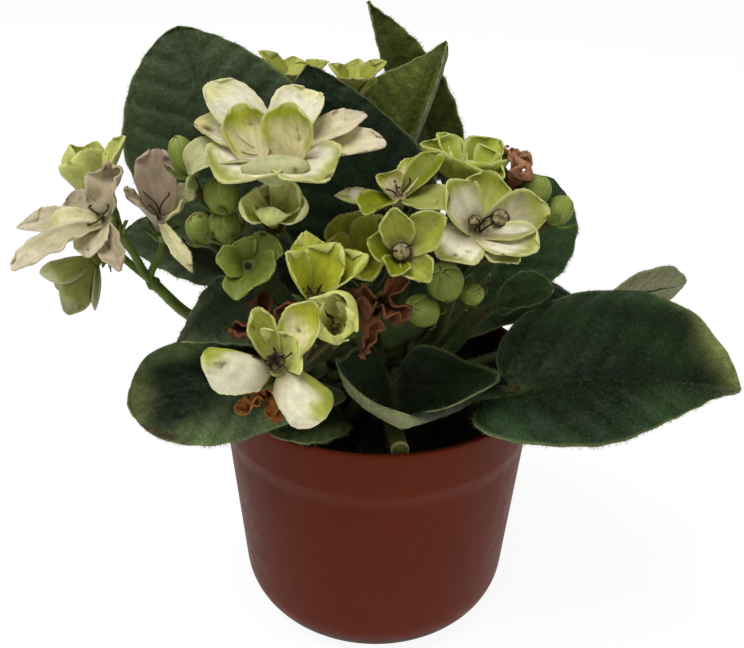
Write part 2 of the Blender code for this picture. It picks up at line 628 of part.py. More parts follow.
def make_pot(parts, cutters):
    """The pot: a tapering wall with a rim band, a rounded foot and drain holes."""
    band = POT_HEIGHT - BAND_HEIGHT
    edge = WALL / 4
    foot = foot_profile()
    floor_radius = foot[-1][0] + FLOOR_CORNER * BASE_CORNER
    profile = [(0, FLOOR), (floor_radius, FLOOR), (wall_radius(BASE_CORNER) - WALL, BASE_CORNER),
               (wall_radius(band) - WALL, band), (RIM_RADIUS - WALL, POT_HEIGHT - edge),
               (RIM_RADIUS - WALL + edge, POT_HEIGHT), (RIM_RADIUS - edge, POT_HEIGHT),
               (RIM_RADIUS, POT_HEIGHT - edge),
               (RIM_RADIUS - WALL_SLOPE * BAND_HEIGHT, band + BAND_STEP), (wall_radius(band), band),
               *foot, (0, 0)]
    pot = turned(profile, POT_STEPS)
    holes = bpy.data.collections.new("drain_holes")
    cutters.children.link(holes)
    for number in range(DRAIN_HOLES):
        holes.objects.link(drain_hole(number))
    cut = pot.modifiers.new("drain_holes", "BOOLEAN")
    cut.operation = "DIFFERENCE"
    cut.operand_type = "COLLECTION"
    cut.collection = holes
    finished("pot", pot, "terracotta_plastic", parts)


def make_soil(parts):
    """The soil: it fills the pot, with a rough top and a plain hole that the crown stands in."""
    band = POT_HEIGHT - BAND_HEIGHT
    floor = FLOOR + GAP
    hole = CROWN_RADIUS + GAP
    edge = RIM_RADIUS - WALL - 2 * GAP - WALL_SLOPE * (POT_HEIGHT - SOIL_TOP)
    corner = wall_radius(BASE_CORNER) - WALL - GAP
    profile = [(0, CROWN_FOOT), (hole, CROWN_FOOT), (hole, SOIL_TOP)]
    profile += [(radius, SOIL_TOP) for radius in SOIL_RINGS]
    profile += [(edge, SOIL_TOP), (wall_radius(band) - WALL - GAP, band), (corner, BASE_CORNER),
                (corner - BASE_CORNER * SOIL_CORNER, floor), (0, floor)]
    soil = turned(profile, POT_STEPS)
    draw = random.Random(SEED)
    for vertex in soil.data.vertices:
        radius = math.hypot(vertex.co.x, vertex.co.y) / MM
        if vertex.co.z > (SOIL_TOP - GAP) * MM and hole + GAP < radius < edge - GAP:
            vertex.co.z += draw.uniform(-SOIL_ROUGHNESS, SOIL_ROUGHNESS) * MM
    finished("soil", soil, "soil", parts)


def make_crown(parts):
    """The crown: the short thick stem that every leaf and flower stalk grows from."""
    foot = CROWN_FOOT + GAP
    profile = [(0, CROWN_TOP), (CROWN_DOME_RADIUS, CROWN_DOME), (CROWN_RADIUS, CROWN_SHOULDER),
               (CROWN_RADIUS, foot + CROWN_BEVEL), (CROWN_RADIUS - CROWN_BEVEL, foot), (0, foot)]
    finished("crown", turned(profile, CROWN_STEPS), "stem", parts)


def make_leaf(name, leaf, parts):
    """A leaf: its blade and the petiole that carries it."""
    length = leaf_frame(leaf)[1]
    along = BLADE_ALONG if length > SMALL_BLADE else SMALL_BLADE_ALONG
    blade = sheet(lambda u, v: leaf_surface(leaf, u, v), along, BLADE_ACROSS, BLADE, -1)
    petiole = tube(*petiole_way(leaf))
    finished(name, thinned(fused([blade, petiole])), "leaf", parts)


def make_cut_petiole(parts):
    """The petiole whose leaf was cut off."""
    first, second, out = crown_exit(CUT_PETIOLE["root"])
    end = np.array(CUT_PETIOLE["end"])
    reach = np.linalg.norm(end - second)
    way = bezier(second, second + out * reach * STEM_LEAVE,
                 end - out * reach * STEM_ARRIVE, end, STEM_STEPS + 1)
    radii = [CUT_PETIOLE["radius"]] * (len(way) + 1)
    finished("cut_petiole", tube([first] + way, radii, 2), "stem", parts)


def make_bloom(name, bloom, parts):
    """A flower: its petals round the short tube of the throat."""
    at, _, _, axis = bloom_frame(bloom)
    pieces = [cone(at - axis * THROAT_DEPTH, at + axis * THROAT_RISE, THROAT_FOOT, THROAT_RADIUS, CONE_SIDES)]
    for petal in lapped_petals(bloom):
        pieces.append(sheet(lambda u, v, petal=petal: petal_surface(bloom, petal, u, v),
                            PETAL_ALONG, PETAL_ACROSS, PETAL, 0))
    finished(name, thinned(fused(pieces)), bloom["slot"], parts)


def make_stamens(name, stamens, parts):
    """The dried ball of stamens in a throat."""
    at, _, _, axis = bloom_frame(BLOOMS[stamens["bloom"]])
    centre = at + axis * stamens["rise"]
    radius = stamens["radius"]
    finished(name, ball(centre, axis, radius, 2 * radius, 8, 6), "withered", parts)


def pedicel(fork, onward, foot, heading, sink):
    """A flower's or bud's own stem, from the fork of the stalk to its foot and a little way into it."""
    reach = np.linalg.norm(foot - fork)
    way = bezier(fork - onward * FORK_DEPTH, fork + onward * reach * STEM_ARRIVE,
                 foot - heading * reach * STEM_LEAVE, foot + heading * sink, STEM_STEPS)
    return tube(way, [PEDICEL_RADIUS] * len(way), 0)


def make_stalk(name, stalk, parts):
    """A flower stalk: the peduncle, its pedicels with their calyxes, and its buds."""
    first, second, _ = crown_exit(stalk["root"])
    way = [first] + smooth_way([second, *stalk["way"]], PEDUNCLE_STEPS)
    fork, onward = way[-1], unit(way[-1] - way[-2])
    pieces = [tube(way, np.linspace(PEDUNCLE_RADIUS, PEDUNCLE_END, len(way)))]
    for bloom in stalk["blooms"]:
        at, _, _, axis = bloom_frame(BLOOMS[bloom])
        rim = at - axis * (THROAT_DEPTH + GAP)
        foot = rim - axis * CALYX_DEPTH
        pieces.append(pedicel(fork, onward, foot, axis, CALYX_DEPTH / 4))
        pieces.append(cone(foot, rim, CALYX_FOOT, CALYX_RADIUS, CONE_SIDES))
    for centre, radius, length in stalk["buds"]:
        centre = np.array(centre, float)
        heading = unit(unit(centre - fork) + np.array((0, 0, BUD_LIFT)))
        foot = centre - heading * length * BUD_SEAT
        pieces.append(pedicel(fork, onward, foot, heading, 0))
        pieces.append(ball(centre, heading, radius, length, CONE_SIDES, CONE_SIDES - 1))
    finished(name, thinned(fused(pieces)), "stem", parts)


def main():
    for thing in list(bpy.data.objects):
        bpy.data.objects.remove(thing)
    parts = bpy.data.collections.new("african_violet")
    cutters = bpy.data.collections.new("cutters")
    for group in (parts, cutters):
        bpy.context.scene.collection.children.link(group)
    make_pot(parts, cutters)
    make_soil(parts)
    make_crown(parts)
    for name, leaf in LEAVES.items():
        make_leaf(name, leaf, parts)
    make_cut_petiole(parts)
    for name, stalk in STALKS.items():
        make_stalk(name, stalk, parts)
    for name, bloom in BLOOMS.items():
        make_bloom(name, bloom, parts)
    for name, stamens in STAMENS.items():
        make_stamens(name, stamens, parts)


main()
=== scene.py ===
"""A potted miniature African violet, dressed, with hairy quilted leaves, ruffled flowers and a satin pot.

The tables and sizes are in millimetres, as in the part's source, and colours are sRGB, 0 to 255.
"""
import math
import zlib

import bpy
import numpy as np
from mathutils import Matrix, Vector


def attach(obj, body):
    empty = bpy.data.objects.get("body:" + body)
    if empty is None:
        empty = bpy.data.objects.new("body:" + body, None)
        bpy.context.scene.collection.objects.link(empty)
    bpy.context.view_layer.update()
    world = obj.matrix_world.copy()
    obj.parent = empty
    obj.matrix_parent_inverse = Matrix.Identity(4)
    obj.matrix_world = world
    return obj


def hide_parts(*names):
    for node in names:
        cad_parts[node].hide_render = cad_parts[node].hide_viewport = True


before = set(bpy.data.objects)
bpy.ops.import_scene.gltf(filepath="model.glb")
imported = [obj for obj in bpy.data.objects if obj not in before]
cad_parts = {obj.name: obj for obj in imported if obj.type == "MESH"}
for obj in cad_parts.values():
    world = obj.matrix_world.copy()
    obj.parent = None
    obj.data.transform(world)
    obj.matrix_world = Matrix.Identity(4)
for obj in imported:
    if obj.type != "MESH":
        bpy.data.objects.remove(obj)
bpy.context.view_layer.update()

MM = 0.001
GAP = 0.3

# Camera and light (places in metres, angles in degrees)
CAMERA = (-0.0014, -0.1908, 0.1717)
CAMERA_PITCH = 28.03
CAMERA_ROLL = 0.957
CAMERA_LENS = 48.39
SENSOR = 36.0
FLOOR_PAINT = 0.15
FLOOR_GLOW = 0.92
FLOOR_HALF = 8
WORLD_LIGHT = 0.15
LAMPS_AIM = (0, 0, 0.08)

# Pot
RIM_RADIUS = 35.0
POT_HEIGHT = 60.2
WALL_SLOPE = 0.0826
WALL = 1.2
BAND_HEIGHT = 11.7
BAND_STEP = 0.35
BASE_CORNER = 12.0
FLOOR = 1.6
DRAIN_HOLES = 5
DRAIN_RADIUS = 3.0
DRAIN_RING = 12.0
POT_SIDES = 160
# The height of the painted shade line under the rim band.
BAND_SHADOW_HEIGHT = 46.5

# Soil and crown
SOIL_TOP = 54.5
CRUMBS = 220
CROWN_RADIUS = 7.5
CROWN_FOOT = 44.0
CROWN_TOP = 72.0

# Leaves
BLADE = 1.0
BLADE_EDGE = 0.32
BASE_CROWDING = 1.25
LOBE_SPAN = 1.3
LOBE_SWEEP = 1.5
PETIOLE_RADIUS = 1.7
NECK_RADIUS = 1.15
ROOT_STUB = 1.5
STEM_LEAVE = 0.4
STEM_ARRIVE = 0.35
PETIOLE_STEPS = 26
VEINS = 6.5
QUILT_CELL = 3.2
TOOTH = 3.2
MIDRIB_DROP = 0.9

# Flowers
PETAL_ROOT = 1.3
PETAL_WIDEST = 0.62
PETAL_LAP = 7.0
THROAT_RADIUS = 1.7
THROAT_DEPTH = 2.4
CALYX_RADIUS = 1.7
CALYX_FOOT = 0.83
CALYX_DEPTH = 2.0
PEDUNCLE_RADIUS = 1.5
PEDUNCLE_END = 1.1
PEDICEL_RADIUS = 0.75
BUD_SEAT = 0.4
BUD_LIFT = 0.6

# Meshes
TUBE_SIDES = 14
PETAL_ROWS = 26
PETAL_COLUMNS = 17

# Hairs
BLADE_HAIR = 0.028
STEM_HAIR = 0.035
HAIR = (104, 112, 84)

# Colours of the leaves
UNDERSIDE = (118, 122, 84)
UNDERSIDE_VEIN = (104, 88, 60)
UNDERSIDE_SHADE = (30, 38, 16)
UNDERSIDE_MARGIN = (150, 156, 108)
# The grey of the hairs together with painted sheen.
HAIR_GREY_AND_SHEEN = (84, 94, 74)
LEAF_SPOT = (62, 44, 24)
MIDRIB = (96, 112, 56)
LEAF_MARGIN = (132, 142, 92)

# Colours of the stems
PETIOLE = (48, 62, 24)
PETIOLE_BROWN = (66, 56, 32)
STALK = (100, 120, 46)
SHADED_STALK = (52, 66, 22)
STALK_BROWN = (78, 62, 34)
CUT_STEM = (92, 104, 48)
CUT_FACE = (158, 150, 96)
CUT_RING = (84, 70, 40)
CROWN_LOW = (36, 30, 16)
CROWN_HIGH = (54, 66, 26)

# Colours of the flowers
PETAL_BROWN = (96, 62, 34)
SEPAL = (118, 134, 58)
SEPAL_TIP = (86, 96, 46)
BUD_LOW = (126, 140, 62)
BUD_HIGH = (168, 180, 96)
BUD_SEAM = (196, 202, 136)
FILAMENT = (44, 28, 18)
FILAMENT_TIP = (96, 64, 36)
KNOB = (44, 32, 20)
KNOB_TOP = (120, 106, 70)
BALL = (158, 146, 104)
BALL_GRAIN = (52, 40, 24)
BALL_SEAM = (46, 32, 20)
STAMEN_STEM = (38, 26, 18)

# Colours of the pot and the soil
POT = (96, 36, 14)
DRAIN_HOLE = (90, 42, 30)
SOIL_DARK = (16, 12, 8)
SOIL_LIGHT = (48, 38, 26)

# root: where the petiole leaves the crown (degrees from +x, height).  base, tip: the ends of the midrib.
# face: the way the upper side looks.  The pairs are for the left and the right half, looking to the tip:
# halves: their widths; lobe: how far they reach behind the base; point: how pointed the tip is; taper: how
# much the blade narrows to it; ovate: how near the base it is widest; fold: the tilt at the midrib; sag:
# the bend from midrib to margin (degrees).  arch and curl: the rise at the middle of the blade and at its
# tip.
LEAVES = {
    "leaf_right_front": dict(
        root=(322, 57.5), base=(27, -25, 70), tip=(72.5, -20, 68.5), face=(0, -0.34, 0.94),
        halves=(25.5, 15.5), lobe=(4, 10.5), point=(0, 0), taper=(-0.5, 0.45), ovate=(0, 0.6), arch=3,
        curl=-1, fold=(17, 17), sag=(-46, -30)),
    "leaf_left_front": dict(
        root=(222, 57.5), base=(-14, -22, 69), tip=(-47, -32, 70), face=(0.05, -0.3, 0.95),
        halves=(12, 18.5), lobe=(8, 6), point=(0.2, 0.15), taper=(-0.3, 0), ovate=(0, 0), arch=2, curl=-1,
        fold=(4, -4), sag=(-20, -20)),
    "leaf_left_mid": dict(
        root=(192, 57.5), base=(-24, -4, 77.5), tip=(-37.5, -26, 80.5), face=(0.2, -0.25, 0.95),
        halves=(12, 7.5), lobe=(5, 6), point=(0.9, 0.1), taper=(0.3, 0.5), ovate=(0.4, 0.5), arch=2,
        curl=-1, fold=(0, 14), sag=(-15, 14)),
    "leaf_front": dict(
        root=(296, 62), base=(3, -17, 66.5), tip=(5.5, -38.5, 71), face=(0, 0.2, 1), halves=(21, 19),
        lobe=(5, 5), point=(0, 0), taper=(0, 0.3), ovate=(0, -0.15), arch=-4, curl=1, fold=(10, 21),
        sag=(32, 46)),
    "leaf_right_back": dict(
        root=(19, 62), base=(24.5, 8, 79), tip=(39.5, 26, 95), face=(-0.2, -0.75, 0.6), halves=(12, 13),
        lobe=(5, 7.5), point=(0, 0.55), taper=(-0.15, 0), ovate=(-0.2, 0.3), arch=3, curl=-1, fold=(0, 0),
        sag=(-20, -20)),
    "leaf_back_left": dict(
        root=(150, 62), base=(-30, 8, 92), tip=(-43, 22, 128), face=(-0.1, -0.85, 0.5), halves=(19, 20.5),
        lobe=(7, 7), point=(0, 0.4), taper=(-0.15, 0), ovate=(0.3, 0.45), arch=3, curl=-1, fold=(0, 0),
        sag=(-20, -20)),
    "leaf_back_mid": dict(
        root=(98, 66.5), base=(2, 8, 82), tip=(-15.5, 15, 122), face=(0.1, -0.85, 0.5), halves=(18, 16),
        lobe=(6, 4), point=(0.5, 0.4), taper=(0, 0.3), ovate=(0.3, 0.5), arch=3, curl=0, fold=(0, 0),
        sag=(-15, -15)),
    "leaf_back_tall": dict(
        root=(50, 62), base=(14.5, 38, 93), tip=(-3.5, 42, 130), face=(0, -0.95, 0.3), halves=(5, 10.5),
        lobe=(4, 8), point=(1.0, 1.0), taper=(0.6, 0.65), ovate=(0.4, 0.1), arch=3, curl=0, fold=(10, 10),
        sag=(0, 0)),
    "leaf_back_fold": dict(
        root=(64, 66.5), base=(5.6, 30, 100), tip=(14, 34, 123), face=(0.2, -0.9, 0.2), halves=(18.5, 3),
        lobe=(1, 1), point=(0, 1.0), taper=(0.95, 0.7), ovate=(0.5, 0.3), arch=1, curl=0, fold=(5, 80),
        sag=(0, 0)),
    "leaf_far_right": dict(
        root=(5, 57.5), base=(50, 15, 66.5), tip=(72.5, 24, 70), face=(0.1, 0.75, 0.65), halves=(9.5, 9),
        lobe=(3, 6), point=(0, 0), taper=(-0.3, -0.1), ovate=(-0.3, 0.2), arch=2, curl=0, fold=(-15, 7),
        sag=(0, 0)),
    "leaf_left": dict(
        root=(163, 57.5), base=(-31, 13, 75), tip=(-57, 14, 84.5), face=(0.1, -0.4, 0.9), halves=(7, 12),
        lobe=(3, 4), point=(0.4, 0.4), taper=(0, 0), ovate=(0.18, 0.18), arch=2, curl=0, fold=(0, 0),
        sag=(-15, -15)),
    "leaf_young_right": dict(
        root=(345, 62), base=(27, -2, 78), tip=(36.5, -2, 80.5), face=(0, -0.5, 0.85), halves=(4.5, 4),
        lobe=(2, 2), point=(0.5, 0.5), taper=(0, 0), ovate=(0.18, 0.18), arch=1, curl=0, fold=(10, 10),
        sag=(0, 0)),
    "leaf_low_front": dict(
        root=(251, 57.5), base=(-8, -22, 61), tip=(-22, -30, 63), face=(0, -0.2, 0.95), halves=(7, 7),
        lobe=(3, 3), point=(0.3, 0.3), taper=(0, 0), ovate=(0.18, 0.18), arch=1, curl=0, fold=(0, 0),
        sag=(-10, -10)),
    "leaf_back": dict(
        root=(85, 57.5), base=(5, 25, 70), tip=(4, 62, 74), face=(0, -0.1, 1), halves=(13, 17),
        lobe=(8, 8), point=(0.5, 0.5), taper=(0, 0), ovate=(0.18, 0.18), arch=5, curl=-1, fold=(0, 0),
        sag=(-20, -20)),
    "leaf_back_low_left": dict(
        root=(128, 57.5), base=(-16, 20, 68), tip=(-35, 42, 78), face=(0, -0.3, 0.95), halves=(17, 17),
        lobe=(7, 7), point=(0.5, 0.5), taper=(0, 0), ovate=(0.18, 0.18), arch=5, curl=-1, fold=(0, 0),
        sag=(-20, -20)),
    "leaf_back_low_right": dict(
        root=(42, 57.5), base=(19, 19, 65), tip=(45, 41, 62), face=(0, 0, 1), halves=(16, 16), lobe=(7, 7),
        point=(0.5, 0.5), taper=(0, 0), ovate=(0.18, 0.18), arch=5, curl=-1, fold=(0, 0), sag=(-20, -20)),
}

# The petiole of a leaf that was cut off: where it leaves the crown and its cut end.
CUT_PETIOLE = dict(root=(279, 57.5), end=(4.4, -32, 59.7), radius=1.75)

# at: the throat.  axis: the way the flower looks.  curl: the bend of a petal from root to tip (degrees,
# outward).  petals: azimuth round the axis (0 to the right, 270 to the front), angle from the axis
# (degrees), length, width and depth of the cup.
BLOOMS = {
    "bloom_top_left": dict(
        at=(-19, -15, 113), axis=(-0.05, -0.35, 0.93), slot="petal_white", curl=45,
        petals=((148, 56, 17, 10, 2), (168, 62, 16, 9, 2), (196, 94, 16, 9, 2), (231, 68, 13, 14, 3),
                (263, 79, 12, 12, 3), (312, 74, 13, 12, 3), (352, 74, 19, 10, 2), (31, 70, 15, 8, 2),
                (62, 72, 13, 10, 3), (150, 24, 11, 9, 2), (44, 20, 11, 9, 2))),
    "bloom_cup": dict(
        at=(-20, -19, 102), axis=(0, -0.55, 0.83), slot="petal_green", curl=-60,
        petals=((167, 42, 8, 7, 2), (109, 49, 7, 7, 2), (46, 46, 8, 7, 2),
                (350, 40, 8, 7, 2), (265, 36, 8, 7, 2))),
    "bloom_under_left": dict(
        at=(-24.5, -22, 93.5), axis=(-0.1, -0.7, 0.7), slot="petal_green", curl=40,
        petals=((190, 46, 7, 7, 2), (263, 62, 9, 8, 2), (329, 60, 7, 8, 2),
                (40, 54, 6, 7, 2), (126, 60, 5, 6, 2))),
    "bloom_left_top": dict(
        at=(-57.5, -6, 101.5), axis=(-0.1, -0.1, 0.98), slot="petal_green", curl=-30,
        petals=((200, 16, 10, 9, 3), (93, 44, 11, 8, 3), (22, 37, 10, 7, 2),
                (238, 32, 8, 7, 2), (310, 26, 9, 8, 3))),
    "bloom_left_old": dict(
        at=(-51, -19, 101), axis=(-0.35, -0.5, 0.8), slot="petal_white", curl=30,
        petals=((174, 83, 17, 8, 2), (204, 58, 10, 9, 3), (234, 64, 20, 11, 2), (254, 66, 9, 8, 2),
                (290, 96, 12, 5, 2), (76, 57, 10, 8, 2), (129, 72, 8, 8, 2))),
    "bloom_left_low": dict(
        at=(-56.5, -12, 89.5), axis=(-0.6, -0.4, -0.6), slot="petal_green", curl=-30,
        petals=((194, 50, 10, 8, 2), (235, 30, 11, 8, 2), (48, 32, 12, 8, 2),
                (337, 30, 9, 8, 2), (120, 36, 10, 8, 2))),
    "bloom_faded": dict(
        at=(-43, -10, 97.5), axis=(0, -0.2, 0.95), slot="petal_white", curl=15,
        petals=((90, 27, 14, 9, 2), (212, 26, 9, 6, 2), (22, 54, 8, 7, 2), (300, 108, 12, 4, 1))),
    "bloom_right_white": dict(
        at=(17.5, -22, 101), axis=(0, -0.55, 0.83), slot="petal_white", curl=30,
        petals=((141, 33, 11, 9, 3), (77, 66, 12, 10, 3), (14, 66, 13, 12, 3),
                (322, 60, 12, 9, 2), (290, 72, 10, 11, 2), (224, 62, 10, 11, 2))),
    "bloom_right_green": dict(
        at=(3, -18, 106), axis=(-0.1, -0.2, 0.97), slot="petal_green", curl=30,
        petals=((197, 72, 11, 5, 1), (234, 69, 9, 7, 2), (150, 38, 6, 7, 2),
                (75, 64, 9, 7, 2), (34, 58, 10, 7, 2), (336, 58, 10, 8, 2))),
    "bloom_top_right": dict(
        at=(16.5, -8, 105.5), axis=(0.1, -0.1, 0.98), slot="petal_green", curl=20,
        petals=((166, 58, 11, 8, 3), (115, 49, 11, 8, 3), (239, 38, 8, 10, 3),
                (67, 45, 10, 9, 3), (16, 48, 9, 8, 3), (316, 50, 8, 8, 3))),
    "bloom_centre": dict(
        at=(3.5, -29, 99.5), axis=(0, -0.75, 0.66), slot="petal_green", curl=20,
        petals=((100, 50, 8, 8, 3), (176, 46, 6, 7, 2), (246, 56, 6, 6, 2),
                (300, 50, 7, 8, 3), (36, 50, 10, 7, 2))),
    "bloom_centre_back": dict(
        at=(-3.5, -16, 91), axis=(-0.1, -0.3, 0.95), slot="petal_green", curl=20,
        petals=((105, 54, 10, 10, 3), (188, 30, 8, 8, 3), (50, 40, 10, 8, 3), (284, 60, 6, 7, 3))),
    "bloom_middle": dict(
        at=(-11.5, -36, 94.5), axis=(-0.05, -0.35, 0.93), slot="petal_green", curl=20,
        petals=((158, 30, 9, 8, 3), (104, 54, 11, 8, 2), (54, 30, 10, 9, 3), (12, 42, 12, 9, 3))),
    "bloom_small_cup": dict(
        at=(-7.6, -39.3, 90.4), axis=(-0.2, -0.8, 0.4), slot="petal_green", curl=-60,
        petals=((190, 24, 7, 7, 3), (275, 34, 6, 7, 3), (344, 40, 7, 7, 3),
                (44, 36, 8, 7, 3), (115, 36, 6, 7, 3))),
    "bloom_low": dict(
        at=(-17, -47.5, 87), axis=(-0.05, -0.6, 0.8), slot="petal_white", curl=20,
        petals=((118, 50, 10, 7, 2), (68, 54, 10, 9, 2), (16, 44, 8, 8, 2),
                (298, 68, 11, 11, 3), (198, 56, 14, 10, 3))),
    "bloom_back_left": dict(
        at=(-20, 27, 113.5), axis=(0, -0.1, 1), slot="petal_green", curl=25,
        petals=((174, 40, 9, 8, 2), (97, 38, 9, 9, 2), (15, 44, 9, 8, 2), (268, 33, 8, 9, 2))),
    "bloom_back_right": dict(
        at=(-6.5, 23.5, 114), axis=(0.05, -0.1, 1), slot="petal_green", curl=25,
        petals=((174, 40, 8, 7, 2), (94, 36, 9, 7, 2), (9, 46, 9, 8, 2), (276, 35, 8, 8, 2))),
    "withered_middle": dict(
        at=(-0.5, -31, 90.5), axis=(0.2, -0.6, 0.7), slot="withered", curl=50,
        petals=((61, 38, 8, 4, 1), (195, 50, 6, 5, 2), (330, 70, 5, 5, 2), (256, 88, 8, 4, 1))),
    "withered_left": dict(
        at=(-19, -27, 83), axis=(-0.3, -0.6, 0.7), slot="withered", curl=50,
        petals=((186, 52, 8, 5, 2), (124, 50, 6, 5, 2), (20, 54, 6, 5, 2), (280, 58, 5, 5, 2))),
    "withered_low": dict(
        at=(-19, -44, 81), axis=(-0.3, -0.8, -0.2), slot="withered", curl=50,
        petals=((200, 30, 5, 4, 1), (320, 34, 5, 4, 1), (80, 30, 4, 4, 1))),
    "withered_right": dict(
        at=(25.4, -9.3, 107.3), axis=(0.4, -0.2, 0.8), slot="withered", curl=50,
        petals=((40, 30, 6, 4, 1), (110, 36, 5, 4, 1), (320, 42, 5, 4, 1))),
}

# Dried stamens in the throats of the flowers that show them: how far above the throat, and the radius.
# balls: large anthers, each with its place (to the right, to the back, along the axis) and its radius.
STAMENS = {
    "stamens_centre": dict(bloom="bloom_centre", rise=2.8, radius=1.9, balls=[(0, 0, 1.9, 1.9)]),
    "stamens_right": dict(bloom="bloom_right_white", rise=2.4, radius=1.5,
                          balls=[(-0.6, 1.0, 2.2, 1.3), (3.9, 1.6, 2.4, 1.8)]),
    "stamens_low": dict(bloom="bloom_low", rise=2.7, radius=1.8),
}

# root: as for a leaf.  way: the points the peduncle passes.  blooms: what its pedicels carry.
# buds: centre, radius and length.
STALKS = {
    "stalk_left": dict(
        root=(210, 65), way=((-17, -9, 76), (-23, -12, 86)),
        blooms=("bloom_top_left", "bloom_cup", "bloom_under_left"),
        buds=(((-29.5, -17, 105.5), 2.9, 7), ((-29.5, -16, 99), 2.8, 6.5), ((-34, -16, 98.5), 2.4, 6),
              ((-37, -12, 111), 2.2, 8))),
    "stalk_far_left": dict(
        root=(174, 62), way=((-27, 3, 66), (-39.5, -1, 71.5), (-46, -8, 83)),
        blooms=("bloom_left_top", "bloom_left_old", "bloom_left_low", "bloom_faded"), buds=()),
    "stalk_right": dict(
        root=(330, 66), way=((12, -10, 74), (15, -13, 86)),
        blooms=("bloom_right_white", "bloom_right_green", "bloom_top_right", "withered_right"),
        buds=(((29.5, -9, 104.5), 2.6, 6), ((34.5, -9, 100.5), 2.3, 6), ((12, -23, 91.5), 3.2, 8),
              ((8, -23, 85.5), 2.8, 8), ((17.5, -21, 88), 1.9, 5))),
    "stalk_middle": dict(
        root=(270, 66.5), way=((-1, -12, 76), (0, -17, 84)),
        blooms=("bloom_centre", "bloom_centre_back", "withered_middle"), buds=()),
    "stalk_front": dict(
        root=(243, 62), way=((-9, -16, 72), (-14, -28, 76)),
        blooms=("bloom_middle", "bloom_small_cup", "bloom_low", "withered_left", "withered_low"), buds=()),
    "stalk_back": dict(
        root=(123, 66.5), way=((-10, 14, 84), (-13, 18, 100)),
        blooms=("bloom_back_left", "bloom_back_right"), buds=()),
}

# Colours of each leaf's upper side: its middle, its outer part and its tip.  hair_and_sheen: how many hairs
# it has, and how much of their grey and of painted sheen lies over its base on one side; rib and reach: how
# pale its midrib is, and how far along; stem: its petiole's colour; teeth: the depth of its scallops (mm);
# spot: a brown patch (place along and across, half lengths); shaded: from where across its underside lies in
# shade.
LEAF_LOOKS = {
    # The pale tip of this leaf is partly its own olive colour and partly painted sheen.
    "leaf_right_front": dict(middle=(20, 36, 14), outer=(40, 60, 34), tip=(152, 156, 98), hair_and_sheen=0.9, rib=0.9,
                             reach=0.3, stem=(40, 58, 24), teeth=0.06),
    "leaf_left_front": dict(middle=(18, 30, 12), outer=(88, 102, 68), tip=(92, 98, 62), hair_and_sheen=0.35,
                            spot=(0.8, 1.0, 0.09, 0.24), teeth=0.08),
    "leaf_left_mid": dict(middle=(44, 56, 38), outer=(78, 88, 66), tip=(84, 92, 62), hair_and_sheen=0.5),
    "leaf_front": dict(middle=(24, 34, 14), outer=(34, 48, 24), tip=(48, 62, 32), hair_and_sheen=0.2, shaded=0.0),
    "leaf_right_back": dict(middle=(34, 54, 26), outer=(44, 64, 34), tip=(50, 70, 40), hair_and_sheen=0.2),
    "leaf_back_left": dict(middle=(52, 64, 42), outer=(62, 74, 48), tip=(60, 72, 42), hair_and_sheen=0.25),
    "leaf_back_mid": dict(middle=(20, 32, 16), outer=(28, 42, 22), tip=(36, 50, 26), hair_and_sheen=0.1),
    "leaf_back_tall": dict(middle=(64, 72, 26), outer=(72, 82, 32), tip=(84, 92, 44), hair_and_sheen=0.1),
    "leaf_back_fold": dict(middle=(112, 122, 56), outer=(118, 128, 64), tip=(122, 130, 72), hair_and_sheen=0.1),
    "leaf_far_right": dict(middle=(112, 120, 78), outer=(118, 126, 86), tip=(110, 120, 80), hair_and_sheen=0.3),
    "leaf_left": dict(middle=(60, 70, 50), outer=(78, 86, 64), tip=(80, 88, 66), hair_and_sheen=0.5),
    "leaf_young_right": dict(middle=(38, 58, 26), outer=(54, 74, 36), tip=(60, 80, 40), hair_and_sheen=0.3),
    "leaf_low_front": dict(middle=(56, 70, 38), outer=(92, 102, 66), tip=(100, 108, 72), hair_and_sheen=0.3),
}
HIDDEN_LEAF = dict(middle=(34, 50, 26), outer=(46, 64, 36), tip=(66, 80, 42), hair_and_sheen=0.35)

